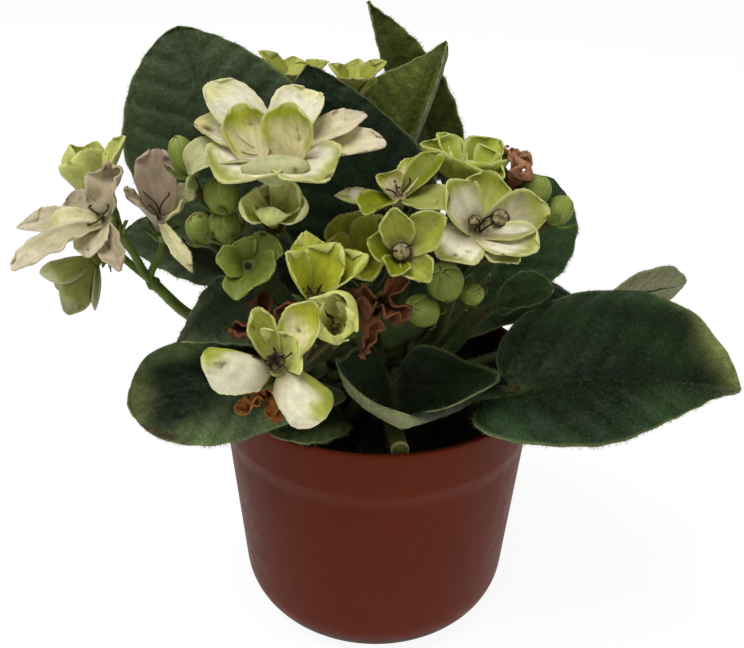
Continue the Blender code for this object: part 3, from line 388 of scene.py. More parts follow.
# Petal styles.  Colours: inside at the root, of the body and of the outer band, of the thin rim and of the
# outer face.  Numbers: how wide the outer band is, how much brown it has and the waves of the rim (mm).
STYLES = {
    "white": ((188, 178, 130), (238, 231, 204), (218, 213, 158), (234, 230, 186), (186, 184, 116),
              0.28, 0.1, 0.4),
    "smear": ((190, 176, 130), (238, 230, 200), (200, 196, 130), (220, 206, 160), (190, 186, 130),
              0.3, 0.9, 0.5),
    "lip": ((170, 158, 112), (236, 229, 200), (166, 166, 84), (226, 224, 164), (170, 168, 108),
            0.45, 0.15, 0.5),
    "half": ((218, 206, 170), (232, 222, 172), (168, 170, 44), (226, 222, 166), (170, 162, 110),
             0.62, 0.2, 0.3),
    "mist": ((160, 160, 108), (184, 184, 136), (176, 178, 120), (208, 208, 160), (180, 180, 130),
             0.4, 0.05, 0.3),
    "blush": ((186, 180, 118), (214, 204, 160), (214, 202, 172), (214, 196, 176), (196, 188, 140),
              0.4, 0.2, 0.3),
    "olive": ((96, 98, 20), (118, 126, 16), (128, 136, 24), (196, 198, 124), (118, 124, 22),
              0.3, 0.08, 0.4),
    "bright": ((160, 160, 70), (202, 204, 112), (206, 208, 118), (222, 222, 156), (196, 198, 104),
               0.35, 0.08, 0.4),
    "drab": ((138, 134, 88), (194, 184, 146), (206, 196, 166), (210, 200, 170), (180, 170, 132),
             0.5, 0.5, 0.5),
    "green": ((178, 174, 112), (162, 164, 66), (152, 156, 54), (206, 208, 140), (162, 164, 74),
              0.3, 0.08, 0.4),
    # bowl: a brightened copy of cup, painted light for the cup flower that lies in the shade of the big top
    # flower.
    "bowl": ((150, 144, 62), (236, 242, 148), (242, 248, 162), (252, 253, 205), (240, 245, 156),
             0.35, 0.05, 0.2),
    "bud": ((112, 126, 52), (134, 148, 66), (150, 162, 78), (190, 198, 124), (124, 136, 60),
            0.35, 0.05, 0.1),
    "cup": ((120, 122, 48), (160, 164, 84), (166, 170, 90), (204, 208, 146), (158, 162, 84),
            0.35, 0.08, 0.3),
    "shade": ((96, 108, 40), (108, 122, 44), (124, 136, 54), (158, 168, 92), (110, 122, 50),
              0.35, 0.08, 0.5),
    "pale": ((110, 116, 44), (136, 140, 66), (184, 180, 142), (190, 188, 150), (138, 142, 70),
             0.3, 0.08, 0.3),
    "deep": ((136, 138, 40), (170, 172, 44), (174, 178, 64), (216, 218, 146), (156, 160, 56),
             0.25, 0.12, 0.55),
    "pear": ((168, 160, 112), (232, 224, 194), (166, 170, 66), (222, 220, 156), (170, 168, 104),
             0.5, 0.25, 0.3),
    "cream": ((186, 182, 128), (222, 214, 168), (208, 202, 142), (226, 216, 170), (212, 204, 156),
              0.3, 0.5, 0.5),
    "mauve": ((150, 138, 106), (182, 168, 136), (168, 150, 124), (196, 184, 156), (176, 162, 134),
              0.3, 0.5, 0.7),
    "dim": ((138, 130, 88), (172, 162, 126), (146, 150, 64), (212, 210, 150), (160, 158, 98),
            0.5, 0.25, 0.3),
    "grey": ((140, 126, 102), (174, 154, 132), (164, 142, 122), (190, 174, 150), (168, 150, 130),
             0.3, 0.3, 0.8),
    "leafy": ((136, 142, 56), (172, 180, 66), (176, 184, 74), (208, 212, 142), (168, 176, 66),
              0.3, 0.08, 0.25),
    "tan": ((92, 60, 36), (176, 126, 92), (140, 94, 66), (196, 152, 116), (150, 104, 74),
            0.4, 0.5, 0.9),
    "rust": ((60, 36, 16), (156, 98, 40), (122, 72, 30), (176, 124, 62), (128, 78, 34),
             0.4, 0.5, 0.9),
    "dry": ((52, 34, 20), (112, 70, 42), (86, 50, 32), (134, 92, 60), (92, 58, 40),
            0.4, 0.6, 0.9),
}
STYLE_PARTS = ("root", "body", "outer", "rim", "back", "band", "spots", "ruffle")
STYLES = {name: dict(zip(STYLE_PARTS, row)) for name, row in STYLES.items()}

# Flowers with dried filaments: how many and how long (mm).
DRIED = {"bloom_left_old": (4, 4), "bloom_faded": (3, 8), "bloom_right_green": (4, 4),
         "bloom_middle": (5, 3.5), "bloom_low": (5, 4), "bloom_cup": (5, 2.5), "bloom_small_cup": (4, 2.5)}

# The styles of each flower's petals in turn; one style is for all its petals.
PETAL_STYLES = {
    "bloom_top_left": "white smear mist lip mist lip blush cup white half half",
    "bloom_cup": "bowl",
    "bloom_under_left": "shade",
    "bloom_left_top": "bright",
    "bloom_left_old": "drab cream drab drab mauve mauve mauve",
    "bloom_left_low": "pale",
    "bloom_faded": "grey mauve cream cream",
    "bloom_right_white": "pear green dim lip lip lip",
    "bloom_right_green": "lip olive half half olive cup",
    "bloom_top_right": "leafy",
    "bloom_centre": "green olive olive green green",
    "bloom_centre_back": "deep",
    "bloom_middle": "deep",
    "bloom_small_cup": "bright",
    "bloom_low": "green half bright pear pear",
    "bloom_back_left": "green",
    "bloom_back_right": "green",
    "withered_low": "rust",
    "withered_right": "tan",
}

# A petal's form: its curl and the hook of its outer part (degrees, outward), how wide its root is, how
# narrow its tip gets (blunt) and how round it is (bow), and how its length, width and cup differ; notch: a
# dent in its tip; sweep: how far it leans to a side; shift: its root's place beside the throat, to the right
# and to the back (mm).  turn and open: degrees more round and from the axis; crease and crumple: how deep
# its middle crease and its crumples are (mm); edge: 1 or -1 for a band along that side; mark: a brown oval
# (place along and across, size).  "all" is for every petal, and a list makes a petal of several lobes.
PETAL_FORM = dict(hook=0, root=0.42, blunt=0.84, bow=0.1, long=1.0, wide=1.0, cup=1.5, notch=0, sweep=0,
                  shift=(0, 0))
SEPAL_FORM = dict(root=0.8, blunt=0.995, bow=0.16, cup=1)
WITHERED_FORM = {"all": dict(crumple=1.5, wide=0.6, cup=4, root=0.6, hook=60)}
DOMED = dict(blunt=0.97, bow=0.03, root=0.72)
FORMS = {
    "bloom_top_left": {
        0: dict(curl=20, open=5), 1: dict(curl=0, long=0.93),
        2: dict(curl=60, hook=80, open=5, turn=-6, long=1.15, shift=(-1.5, -1)),
        3: dict(curl=0, long=1.05, wide=1.1),
        4: dict(curl=80, hook=70, turn=9, open=-2, cup=-0.9, blunt=0.9),
        5: dict(curl=0, long=1.05, wide=1.1, open=-3),
        6: [dict(curl=0, wide=0.7, cup=2, turn=26, open=8, long=0.86, root=0.6),
            dict(curl=0, wide=0.8, cup=2, turn=6, open=16, long=0.98, root=0.6)],
        7: dict(curl=10, turn=14, open=13, long=0.75, wide=0.84, sweep=0.5),
        8: dict(curl=20, hook=25, open=-4, long=1.04),
        9: dict(curl=-30, turn=-40, open=0, shift=(-3.4, -4.6), long=1.06, wide=0.95, cup=2.2, sweep=0.4),
        10: dict(curl=-30, turn=30, open=-4, shift=(2, -3.8), long=1.06, wide=1.08, cup=2.2,
                 mark=(0.45, -0.35, 0.05))},
    "bloom_cup": {
        "all": dict(hook=-50, cup=2.4, wide=1.2), 0: dict(turn=9, open=12, wide=1.12, sweep=0.4),
        1: dict(turn=-17, open=3, long=1.09, wide=1.13, sweep=-0.8), 2: dict(open=10, long=1.08),
        3: dict(turn=9, open=7, long=1.1, wide=1.04),
        4: dict(turn=-11, open=-21, long=0.92, wide=1.0, sweep=1.1)},
    "bloom_under_left": {
        "all": dict(cup=1.0), 0: dict(curl=55, open=-7, long=0.96, wide=0.89),
        1: dict(curl=60, open=-12, long=0.91, wide=0.75), 2: dict(open=-4),
        3: dict(open=9, long=1.06, sweep=-0.4),
        4: dict(turn=-19, open=-6, long=0.86, wide=0.82, sweep=-0.9)},
    "bloom_left_top": {
        "all": dict(hook=-30, cup=2.4, wide=1.15), 0: dict(open=-3, long=1.09),
        1: dict(turn=-8, open=7, wide=0.96), 2: dict(hook=0, long=1.26, cup=1.5, open=11),
        3: dict(long=1.26, open=-26), 4: dict(long=1.28, open=-1)},
    "bloom_left_old": {
        0: dict(wide=0.7, blunt=0.97, bow=0.3, turn=4, open=4),
        1: dict(wide=0.9, open=5, long=0.93), 2: dict(wide=0.6, crumple=0.4, open=4, long=0.95),
        3: dict(turn=11, open=3, long=0.92, wide=0.87, sweep=0.5), 4: dict(wide=0.85, crumple=0.4, turn=3),
        5: dict(crumple=0.9, hook=-50, cup=2.5, wide=1.04, open=7),
        6: dict(wide=0.9, turn=21, open=3, long=1.07, sweep=1.1)},
    "bloom_left_low": {
        0: dict(turn=9, open=-15, long=0.92, sweep=0.6),
        1: dict(turn=7, open=-6, sweep=0.4), 2: dict(open=3, wide=0.84)},
    "bloom_faded": {
        0: dict(long=0.95, wide=0.92), 1: dict(wide=1.4, cup=0.6, open=-3),
        2: dict(crumple=0.4, cup=1.8, open=7, long=1.08),
        3: dict(blunt=0.97, bow=0.3, wide=0.8, sweep=1.5)},
    "bloom_right_white": {
        "all": dict(curl=-5, cup=2.0), 0: dict(curl=-10, hook=-40, open=17, long=1.07),
        1: dict(curl=-30, hook=-20, wide=0.9, open=3, long=0.95),
        2: dict(turn=-7, open=6, long=0.96, wide=0.84), 3: dict(open=-4),
        4: dict(turn=19, open=7, long=0.96, wide=0.6), 5: dict(turn=3)},
    "bloom_right_green": {
        "all": dict(cup=1.8), 0: dict(curl=-20, blunt=0.97, bow=0.25, open=7, wide=1.1),
        2: dict(hook=-30, cup=2.4, long=0.86, wide=0.92, sweep=1.1), 3: dict(curl=0, turn=-12, wide=0.75),
        4: dict(curl=0, turn=-5, open=8, long=1.04),
        5: dict(curl=-10, turn=-9, open=17, wide=1.07, sweep=-0.5)},
    "bloom_top_right": {
        "all": dict(curl=-50, cup=3.0, wide=1.2), 0: dict(open=6),
        1: dict(turn=16, open=-3, wide=0.75), 2: dict(turn=-8, open=3, wide=1.05),
        3: dict(turn=-13, long=1.07, wide=0.95), 4: dict(turn=-4, open=9, long=0.94, wide=1.1)},
    "bloom_centre": {
        "all": dict(curl=-5, cup=2.0), 0: dict(turn=5, wide=0.78), 1: dict(turn=-5, wide=0.9),
        2: dict(turn=4, open=-6, wide=0.85, sweep=0.5), 3: dict(turn=12, open=6, wide=0.72, curl=-10)},
    "bloom_centre_back": {
        "all": dict(curl=-10, cup=1.6, wide=1.1)},
    "bloom_middle": {
        "all": dict(curl=10, cup=1.4, blunt=0.93, bow=0.25),
        0: dict(turn=12, open=-3, long=1.07, wide=0.87, hook=-5, sweep=-0.7), 1: dict(turn=-6, wide=0.89),
        2: dict(turn=-5, open=13, long=0.96, sweep=-0.5), 3: dict(turn=7, open=5, long=0.92, wide=0.79)},
    "bloom_small_cup": {
        "all": dict(curl=-90, hook=-50, cup=2.4, wide=1.35),
        0: dict(turn=23, open=-14, wide=1.14, sweep=-1.0),
        1: dict(turn=13, open=-24, long=0.88, wide=0.78, sweep=0.7),
        2: dict(turn=26, open=3, wide=0.84, sweep=2.0),
        3: dict(turn=14, open=7, long=1.08, hook=-34, sweep=1.0),
        4: dict(turn=-12, open=21, long=1.12, wide=0.82, hook=-29, sweep=-1.0)},
    "bloom_low": {
        0: dict(curl=-20, cup=3.2, wide=0.68, sweep=-0.7),
        1: dict(curl=-30, cup=2.2, turn=-11, open=5, long=1.14, wide=0.81),
        2: dict(curl=-40, cup=2.0, turn=30, open=-4, wide=1.3, long=0.7, hook=20),
        3: dict(curl=40, cup=-3.0, turn=12, open=10, long=1.05, wide=0.76, edge=1, **DOMED),
        4: dict(curl=50, cup=-3.2, turn=-4, open=-8, long=0.97, wide=0.82, edge=-1,
                mark=(0.78, 0.15, 0.09), **DOMED)},
    "bloom_back_left": {
        "all": dict(curl=45, cup=0.8, wide=1.15, blunt=0.95, bow=0.3), 0: dict(long=1.15),
        1: dict(turn=-7, open=7, long=0.94, wide=0.7), 2: dict(open=13, long=1.06),
        3: dict(turn=7, wide=1.22, sweep=0.4)},
    "bloom_back_right": {
        "all": dict(curl=45, cup=0.8, wide=1.15, blunt=0.95, bow=0.3), 0: dict(long=0.93),
        1: dict(turn=-10, open=9, long=0.94, wide=0.81), 2: dict(long=1.04), 3: dict(turn=6)},
    "withered_middle": {
        "all": dict(cup=4, root=0.6), 0: dict(turn=-14, wide=0.6, long=1.1, crumple=0.6),
        1: dict(hook=120, crumple=1.4, wide=0.6), 2: dict(hook=130, long=0.8, crumple=1.4, wide=0.6),
        3: dict(wide=0.75, long=1.15, crumple=1.5)},
    "withered_left": WITHERED_FORM,
    "withered_low": WITHERED_FORM,
    "withered_right": {
        "all": dict(crumple=1.2, wide=0.7, cup=3, root=0.6, hook=40),
        0: dict(turn=4, open=-27, long=0.84, wide=0.6, hook=34, sweep=1.7),
        1: dict(turn=5, open=7, sweep=0.5),
        2: dict(turn=-20, open=-30, long=0.76, wide=0.83, hook=32, sweep=-2.1)},
}

# The materials, by slot
FINISHES = {}


def unit(vector):
    """The vector at length one."""
    vector = np.array(vector, float)
    return vector / np.linalg.norm(vector)


def units(vectors):
    """Each row at length one."""
    return vectors / np.maximum(np.linalg.norm(vectors, axis=1, keepdims=True), 1e-9)


def rgb(colour):
    """An sRGB colour as linear light."""
    share = np.asarray(colour, float) / 255
    return np.where(share <= 0.04045, share / 12.92, ((share + 0.055) / 1.055) ** 2.4)


def blend(first, second, share):
    """From the first colour to the second by a share for each point."""
    return first + (second - first) * np.clip(share, 0, 1)[:, None]


def smooth(low, high, value):
    """A soft step from 0 at low to 1 at high."""
    t = np.clip((value - low) / (high - low), 0, 1)
    return t * t * (3 - 2 * t)


def seeded(name, extra=0):
    """A random source that is the same in each run."""
    return np.random.default_rng(zlib.crc32(name.encode()) + extra)


def ripples(points, wavelength, draw, waves=9):
    """Smooth random ups and downs, mostly between -1 and 1, with about this wavelength in millimetres."""
    ways = units(draw.normal(size=(waves, 3)))
    ways = ways * (2 * np.pi / (wavelength * draw.uniform(0.7, 1.4, (waves, 1))))
    return np.sin(points @ ways.T + draw.uniform(0, 2 * np.pi, waves)).sum(1) / math.sqrt(waves)


def smooth_way(points, steps):
    """Points on a Catmull-Rom curve through the given ones, with so many steps from each to the next."""
    points = [np.array(p, float) for p in points]
    ends = [2 * points[0] - points[1]] + points + [2 * points[-1] - points[-2]]
    way = []
    for a, b, c, d in zip(ends, ends[1:], ends[2:], ends[3:]):
        for t in np.arange(steps) / steps:
            way.append(0.5 * (2 * b + (c - a) * t + (2 * a - 5 * b + 4 * c - d) * t**2
                              + (3 * b - a - 3 * c + d) * t**3))
    return way + [points[-1]]


def bezier(start, leave, arrive, end, steps):
    """Points on a cubic curve that leaves start towards leave and reaches end from arrive."""
    start, leave, arrive, end = (np.array(p, float) for p in (start, leave, arrive, end))
    return [(1 - t)**3 * start + 3 * t * (1 - t)**2 * leave + 3 * t**2 * (1 - t) * arrive + t**3 * end
            for t in np.linspace(0, 1, steps + 1)]


def around(degrees, one, two):
    """The direction so many degrees round from one direction towards another."""
    turn = math.radians(degrees)
    return math.cos(turn) * one + math.sin(turn) * two


def oval(radius, height, angles, least=0.0):
    """The profile of a round or flattened ball, as (radius, height) pairs."""
    return [(max(least, radius * math.cos(a)), height * math.sin(a)) for a in angles]


def crown_exit(root):
    """The first two points of a stem that leaves the crown straight out."""
    angle, height = root
    out = np.array((math.cos(math.radians(angle)), math.sin(math.radians(angle)), 0))
    first = out * (CROWN_RADIUS + GAP) + np.array((0, 0, height))
    return first, first + out * ROOT_STUB, out


class Piece:
    """The points, faces and tones of one piece, gathered before its mesh is made."""

    def __init__(self):
        self.points, self.faces, self.tones, self.count = [], [], [], 0

    def add(self, points, faces, tones):
        """Adds points (mm), faces as rows of point numbers, and one tone or a tone for each point."""
        self.points.append(points)
        self.faces.append(np.asarray(faces) + self.count)
        self.tones.append(np.broadcast_to(tones, (len(points), 3)))
        self.count += len(points)

    def make(self, name, slot, *nodes):
        """The piece as an object that rides on the plant, in place of the nodes."""
        mesh = bpy.data.meshes.new(name)
        faces = [face for group in self.faces for face in group.tolist()]
        mesh.from_pydata(np.concatenate(self.points) * MM, [], faces)
        tones = np.column_stack([np.concatenate(self.tones), np.ones(self.count)])
        stored = mesh.attributes.new("tone", "FLOAT_COLOR", "POINT")
        stored.data.foreach_set("color", np.clip(tones, 0, 1).astype(np.float32).ravel())
        mesh.shade_smooth()
        mesh.materials.append(FINISHES[slot])
        made = bpy.data.objects.new(name, mesh)
        bpy.context.scene.collection.objects.link(made)
        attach(made, "root")
        if nodes:
            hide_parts(*nodes)
        return made


def grid_faces(rows, columns, inside_out=False):
    """The quads between rows of points that close round, with their outer side by the right-hand rule."""
    row, column = np.meshgrid(np.arange(rows - 1), np.arange(columns), indexing="ij")
    a, b = row * columns + column, row * columns + (column + 1) % columns
    order = [a, a + columns, b + columns, b] if inside_out else [a, b, b + columns, a + columns]
    return np.stack(order, -1).reshape(-1, 4)


def slopes(surface, u, v, step=0.01):
    """The directions along u and v and the normal of a surface."""
    u, v = np.clip(u, 2 * step, 1 - 2 * step), np.clip(v, 2 * step - 1, 1 - 2 * step)
    along = surface(u + step, v) - surface(u - step, v)
    across = surface(u, v + step) - surface(u, v - step)
    return units(along), units(across), units(np.cross(along, across))


def shell(piece, surface, rows, columns, thickness, above, tones, capped=True, crowd=1.0):
    """A closed sheet round a surface: above is the share of its thickness over the surface; crowd gathers
    its rows at the tip."""
    u, v = np.meshgrid(np.linspace(0, 1, rows), np.linspace(-1, 1, columns), indexing="ij")
    u, v = 1 - (1 - u.ravel())**crowd, v.ravel()
    middle, normal = surface(u, v), slopes(surface, u, v)[2]
    thick = thickness(u, v)[:, None]
    upper, lower = middle + normal * thick * above, middle - normal * thick * (1 - above)

    def ring(over, under):
        return np.concatenate([over.reshape(rows, columns, 3), under.reshape(rows, columns, 3)[:, ::-1]],
                              1).reshape(-1, 3)

    faces = grid_faces(rows, 2 * columns, True)
    piece.add(ring(upper, lower), faces, ring(tones(u, v, 1), tones(u, v, -1)))
    if capped:
        i = np.arange(columns - 1)
        low, high = i, 2 * columns - 1 - i
        first = np.stack([low, low + 1, high - 1, high], -1)
        last = first[:, ::-1] + (rows - 1) * 2 * columns
        piece.faces.append(np.concatenate([first, last]) + piece.count - rows * 2 * columns)


def frames(way):
    """Directions across a way at each of its points, without twist."""
    way = np.array(way)
    ahead = units(np.gradient(way, axis=0))
    first = np.cross(ahead[0], (0, 0, 1) if abs(ahead[0][2]) < 0.9 else (1, 0, 0))
    sides = [unit(first)]
    for direction in ahead[1:]:
        sides.append(unit(sides[-1] - direction * (sides[-1] @ direction)))
    sides = np.array(sides)
    return ahead, sides, np.cross(ahead, sides)


def tube(piece, way, radii, tones, sides=TUBE_SIDES):
    """A round stem along a way, closed at both ends; tones(t, turn) colours it by its run and its turn."""
    way, radii = np.array(way), np.array(radii, float)
    ahead, one, two = frames(way)
    turn = 2 * np.pi * np.arange(sides) / sides
    ring = (way[:, None] + radii[:, None, None] * (np.cos(turn)[None, :, None] * one[:, None]
                                                   + np.sin(turn)[None, :, None] * two[:, None]))
    points = np.concatenate([ring.reshape(-1, 3), way[:1] - ahead[:1] * radii[0] * 0.3,
                             way[-1:] + ahead[-1:] * radii[-1] * 0.3])
    t = np.concatenate([np.repeat(np.linspace(0, 1, len(way)), sides), [0, 1]])
    turns = np.concatenate([np.tile(turn, len(way)), [0, 0]])
    piece.add(points, grid_faces(len(way), sides), tones(t, turns, points))
    i = np.arange(sides)
    start, end = len(way) * sides, len(way) * sides + 1
    tips = np.concatenate([np.stack([(i + 1) % sides, i, np.full(sides, start)], -1),
                           np.stack([i, (i + 1) % sides, np.full(sides, end)], -1)
                           + [[(len(way) - 1) * sides, (len(way) - 1) * sides, 0]]])
    piece.faces.append(tips + piece.count - len(points))


def turned(piece, at, axis, profile, tones, sides=20, ridges=0.0, lobes=5, twist=0.0):
    """A shape turned about an axis from (radius, height) pairs; heights may go back to make a cup."""
    axis = unit(axis)
    one = unit(np.cross(axis, (0.3, 1, 0.2)))
    two = np.cross(axis, one)
    profile = np.array(profile, float)
    turn = 2 * np.pi * np.arange(sides) / sides
    height = profile[:, 1:2]
    radius = profile[:, :1] * (1 + ridges * np.cos(lobes * turn[None] + twist * height))
    points = (np.array(at)[None, None] + height[:, :, None] * axis
              + radius[:, :, None] * (np.cos(turn)[None, :, None] * one + np.sin(turn)[None, :, None] * two))
    points = points.reshape(-1, 3)
    t = np.repeat(np.linspace(0, 1, len(profile)), sides)
    piece.add(points, grid_faces(len(profile), sides), tones(t, np.tile(turn, len(profile)), points))


def hairs(piece, roots, directions, length, radius, draw):
    """Fine tapering hairs, each with a bend in it."""
    number = len(roots)
    directions = units(directions)
    side = units(np.cross(directions, units(draw.normal(size=(number, 3)))))
    other = np.cross(directions, side)
    length = length * draw.uniform(0.5, 1.3, (number, 1))
    bent = units(directions + side * draw.uniform(-0.9, 0.9, (number, 1)))
    middle = roots + directions * length * 0.5
    tip = middle + bent * length * 0.5
    rings = []
    for centre, thick in ((roots - directions * 0.05, radius), (middle, radius * 0.7)):
        for angle in (0, 2.094, 4.189):  # a third of a turn apart
            rings.append(centre + (side * math.cos(angle) + other * math.sin(angle)) * thick)
    points = np.stack([*rings, tip], 1).reshape(-1, 3)
    base = np.arange(number)[:, None] * 7
    quads = np.concatenate([base + [a, b, b + 3, a + 3] for a, b in ((0, 1), (1, 2), (2, 0))])
    tips = np.concatenate([base + [a, b, 6] for a, b in ((3, 4), (4, 5), (5, 3))])
    tones = np.repeat(rgb(HAIR) * draw.uniform(0.6, 1.15, (number, 1)), 7, 0)
    piece.add(points, quads, tones)
    piece.faces.append(tips + piece.count - len(points))


def stem_hairs(piece, way, radii, per_mm, length, draw):
    """Hairs that stand out round a stem."""
    way, radii = np.array(way), np.array(radii, float)
    run = np.concatenate([[0], np.cumsum(np.linalg.norm(np.diff(way, axis=0), axis=1))])
    number = int(run[-1] * per_mm)
    if not number:
        return
    _, one, two = frames(way)
    where = draw.uniform(0, run[-1], number)
    turn = draw.uniform(0, 2 * np.pi, number)[:, None]
    at, side, other = (np.stack([np.interp(where, run, rows[:, k]) for k in range(3)], 1)
                       for rows in (way, one, two))
    out = units(side * np.cos(turn) + other * np.sin(turn))
    roots = at + out * np.interp(where, run, radii)[:, None]
    hairs(piece, roots, out + draw.normal(size=(number, 3)) * 0.25, length, STEM_HAIR, draw)


def leaf_frame(leaf):
    """The blade's base and length, with its directions ahead, to its left and up."""
    base, tip = np.array(leaf["base"], float), np.array(leaf["tip"], float)
    ahead = unit(tip - base)
    face = np.array(leaf["face"], float)
    up = unit(face - ahead * (face @ ahead))
    return base, np.linalg.norm(tip - base), ahead, np.cross(up, ahead), up


def leaf_plan(leaf, u, v):
    """How far along and across the flat blade a point lies."""
    left = v >= 0

    def half_value(name):
        return np.where(left, leaf[name][0], leaf[name][1])

    length = leaf_frame(leaf)[1]
    phi = np.pi * u**BASE_CROWDING
    reach = np.abs(v)
    point = half_value("point") * u**3
    along = (1 - point) * (1 - np.cos(phi)) / 2 + point * u
    lobe = half_value("lobe") * np.sin(np.sqrt(np.clip(phi / LOBE_SPAN, 0, 1)) * np.pi)**2
    across = half_value("halves") * np.sin(phi) * (1 + half_value("ovate") * np.cos(phi)) * reach
    across = across * (1 - half_value("taper") * u**2)
    return along * length - lobe * reach**LOBE_SWEEP, across, half_value


def leaf_surface(leaf, u, v):
    """The blade's upper side: u runs from base to tip, v from the right margin (-1) to the left one (1)."""
    base, length, ahead, side, up = leaf_frame(leaf)
    x, across, half_value = leaf_plan(leaf, u, v)
    fold = np.radians(half_value("fold"))
    bend = np.radians(half_value("sag")) / half_value("halves")
    bend = np.where(np.abs(bend) < 1e-5, 1e-5, bend)
    y = (np.sin(fold + bend * across) - np.sin(fold)) / bend
    z = (np.cos(fold) - np.cos(fold + bend * across)) / bend
    t = x / length
    z = z + leaf["arch"] * 4 * t * (1 - t) + leaf["curl"] * np.clip(t, 0, 2)**3
    y = np.where(v >= 0, y, -y)
    return base + np.outer(x, ahead) + np.outer(y, side) + np.outer(z, up)


def leaf_veins(leaf, u, v):
    """How near a point is to the midrib and to a side vein, 0 to 1, and how high the blade swells there."""
    length = leaf_frame(leaf)[1]
    x, y, _ = leaf_plan(leaf, u, v)
    spacing = length / VEINS
    place = (x - 0.6 * y - 0.006 * y * y) / spacing + 0.35
    off = (place - np.round(place)) * spacing * 0.8
    rib = np.exp(-(y / (0.35 + 0.9 * (1 - u)))**2)
    vein = np.exp(-(off / (0.45 + 0.01 * length))**2) * smooth(0, 3, y) * smooth(1.02, 0.8, np.abs(v))
    swell = (0.5 - 0.5 * np.cos(2 * np.pi * (place - 0.5))) * smooth(0.5, 4, y)
    return rib, vein, swell


def leaf_skin(leaf, name, look):
    """The blade's surface with its veins, quilting and scalloped margin."""
    length = leaf_frame(leaf)[1]
    size = min(1.0, length / 45)
    teeth = 2 * np.pi * max(6, round(length / TOOTH))

    def plain(u, v):
        return leaf_surface(leaf, u, v)

    def skin(u, v):
        points = plain(u, v)
        _, across, normal = slopes(plain, u, v)
        rib, vein, swell = leaf_veins(leaf, u, v)
        cells = ripples(points, QUILT_CELL, seeded(name), 12)
        height = size * (0.9 * (swell - 0.5) - 0.35 * rib - 0.4 * vein) + 0.09 * cells
        height = height * smooth(1.01, 0.85, np.abs(v)) * smooth(0, 0.06, u) * smooth(1, 0.95, u)
        waves = ripples(points, 14, seeded(name, 1), 6) * 0.4 * v**4
        scallop = look.get("teeth", 0.16) * np.cos(teeth * u) * np.abs(v)**9 * np.sign(v)
        return points + normal * (height + waves * smooth(1, 0.9, u))[:, None] + across * scallop[:, None]

    return skin


def leaf_tones(leaf, name, look, skin):
    """The colours of the blade's two faces."""
    length = leaf_frame(leaf)[1]
    middle, outer, tip = (rgb(look[key]) for key in ("middle", "outer", "tip"))

    def tones(u, v, face):
        points = skin(u, v)
        rib, vein, swell = leaf_veins(leaf, u, v)
        x, _, _ = leaf_plan(leaf, u, v)
        blot = ripples(points, 16, seeded(name, 2))
        fine = ripples(points, 1.6, seeded(name, 3), 14)
        margin = smooth(0.96, 0.995, np.abs(v))
        if face < 0:
            colour = rgb(UNDERSIDE) * (1 + 0.1 * blot + 0.05 * fine)[:, None]
            colour = blend(colour, rgb(UNDERSIDE_VEIN), 0.55 * vein * smooth(1.0, 0.7, u))
            if "shaded" in look:
                colour = blend(colour, rgb(UNDERSIDE_SHADE), smooth(look["shaded"], look["shaded"] + 0.4, v))
            return blend(colour, rgb(UNDERSIDE_MARGIN), 0.7 * margin)
        colour = blend(middle, outer, smooth(0.35, 0.98, np.abs(v)) + 0.25 * blot)
        colour = blend(colour, tip, smooth(0.78, 1.0, x / length + 0.04 * blot))
        colour = colour * (1 + 0.12 * blot + 0.1 * fine)[:, None]
        # Partly the grey of the hairs and partly painted sheen, over the base and the left half of the blade.
        hair_and_sheen = look["hair_and_sheen"] * smooth(0.75, 0.1, u) * smooth(-0.2, 0.5, v) * (0.55 + 0.45 * fine)
        colour = blend(colour, rgb(HAIR_GREY_AND_SHEEN), 0.3 * hair_and_sheen)
        # Painted shade in the vein grooves and painted highlight on the swells between them.
        colour = colour * (0.93, 0.97, 0.8) * (1 - 0.3 * vein + 0.45 * (swell - 0.5))[:, None]
        if "spot" in look:
            at, aside, long, wide = look["spot"]
            away = np.hypot((u - at) / long, (v - aside) / wide) + 0.25 * fine
            colour = blend(colour, rgb(LEAF_SPOT), 0.85 * smooth(1.2, 0.5, away))
        pale = look.get("rib", 0.3) * rib * smooth(look.get("reach", 0.75), 0.0, u)
        return blend(blend(colour, rgb(MIDRIB), pale), rgb(LEAF_MARGIN), 0.55 * margin)

    return tones


def petiole_way(leaf):
    """The petiole from the crown to the blade, and on under it as the midrib, with its radii."""
    first, second, out = crown_exit(leaf["root"])
    base, _, ahead, _, up = leaf_frame(leaf)
    seat = base - up * NECK_RADIUS
    reach = np.linalg.norm(seat - second)
    level = np.linalg.norm((seat - second)[:2])
    way = bezier(second, second + out * level * STEM_LEAVE, seat - ahead * reach * STEM_ARRIVE, seat,
                 PETIOLE_STEPS)
    radii = list(np.linspace(PETIOLE_RADIUS, NECK_RADIUS, len(way)))
    for place in np.linspace(0.06, 0.9, 14):
        radius = NECK_RADIUS * (1 - place)**1.3 + 0.15
        on_blade = leaf_surface(leaf, np.array([place]), np.array([0.0]))[0]
        way.append(on_blade - up * (radius + MIDRIB_DROP))
        radii.append(radius)
    return [first] + way, [PETIOLE_RADIUS] + radii


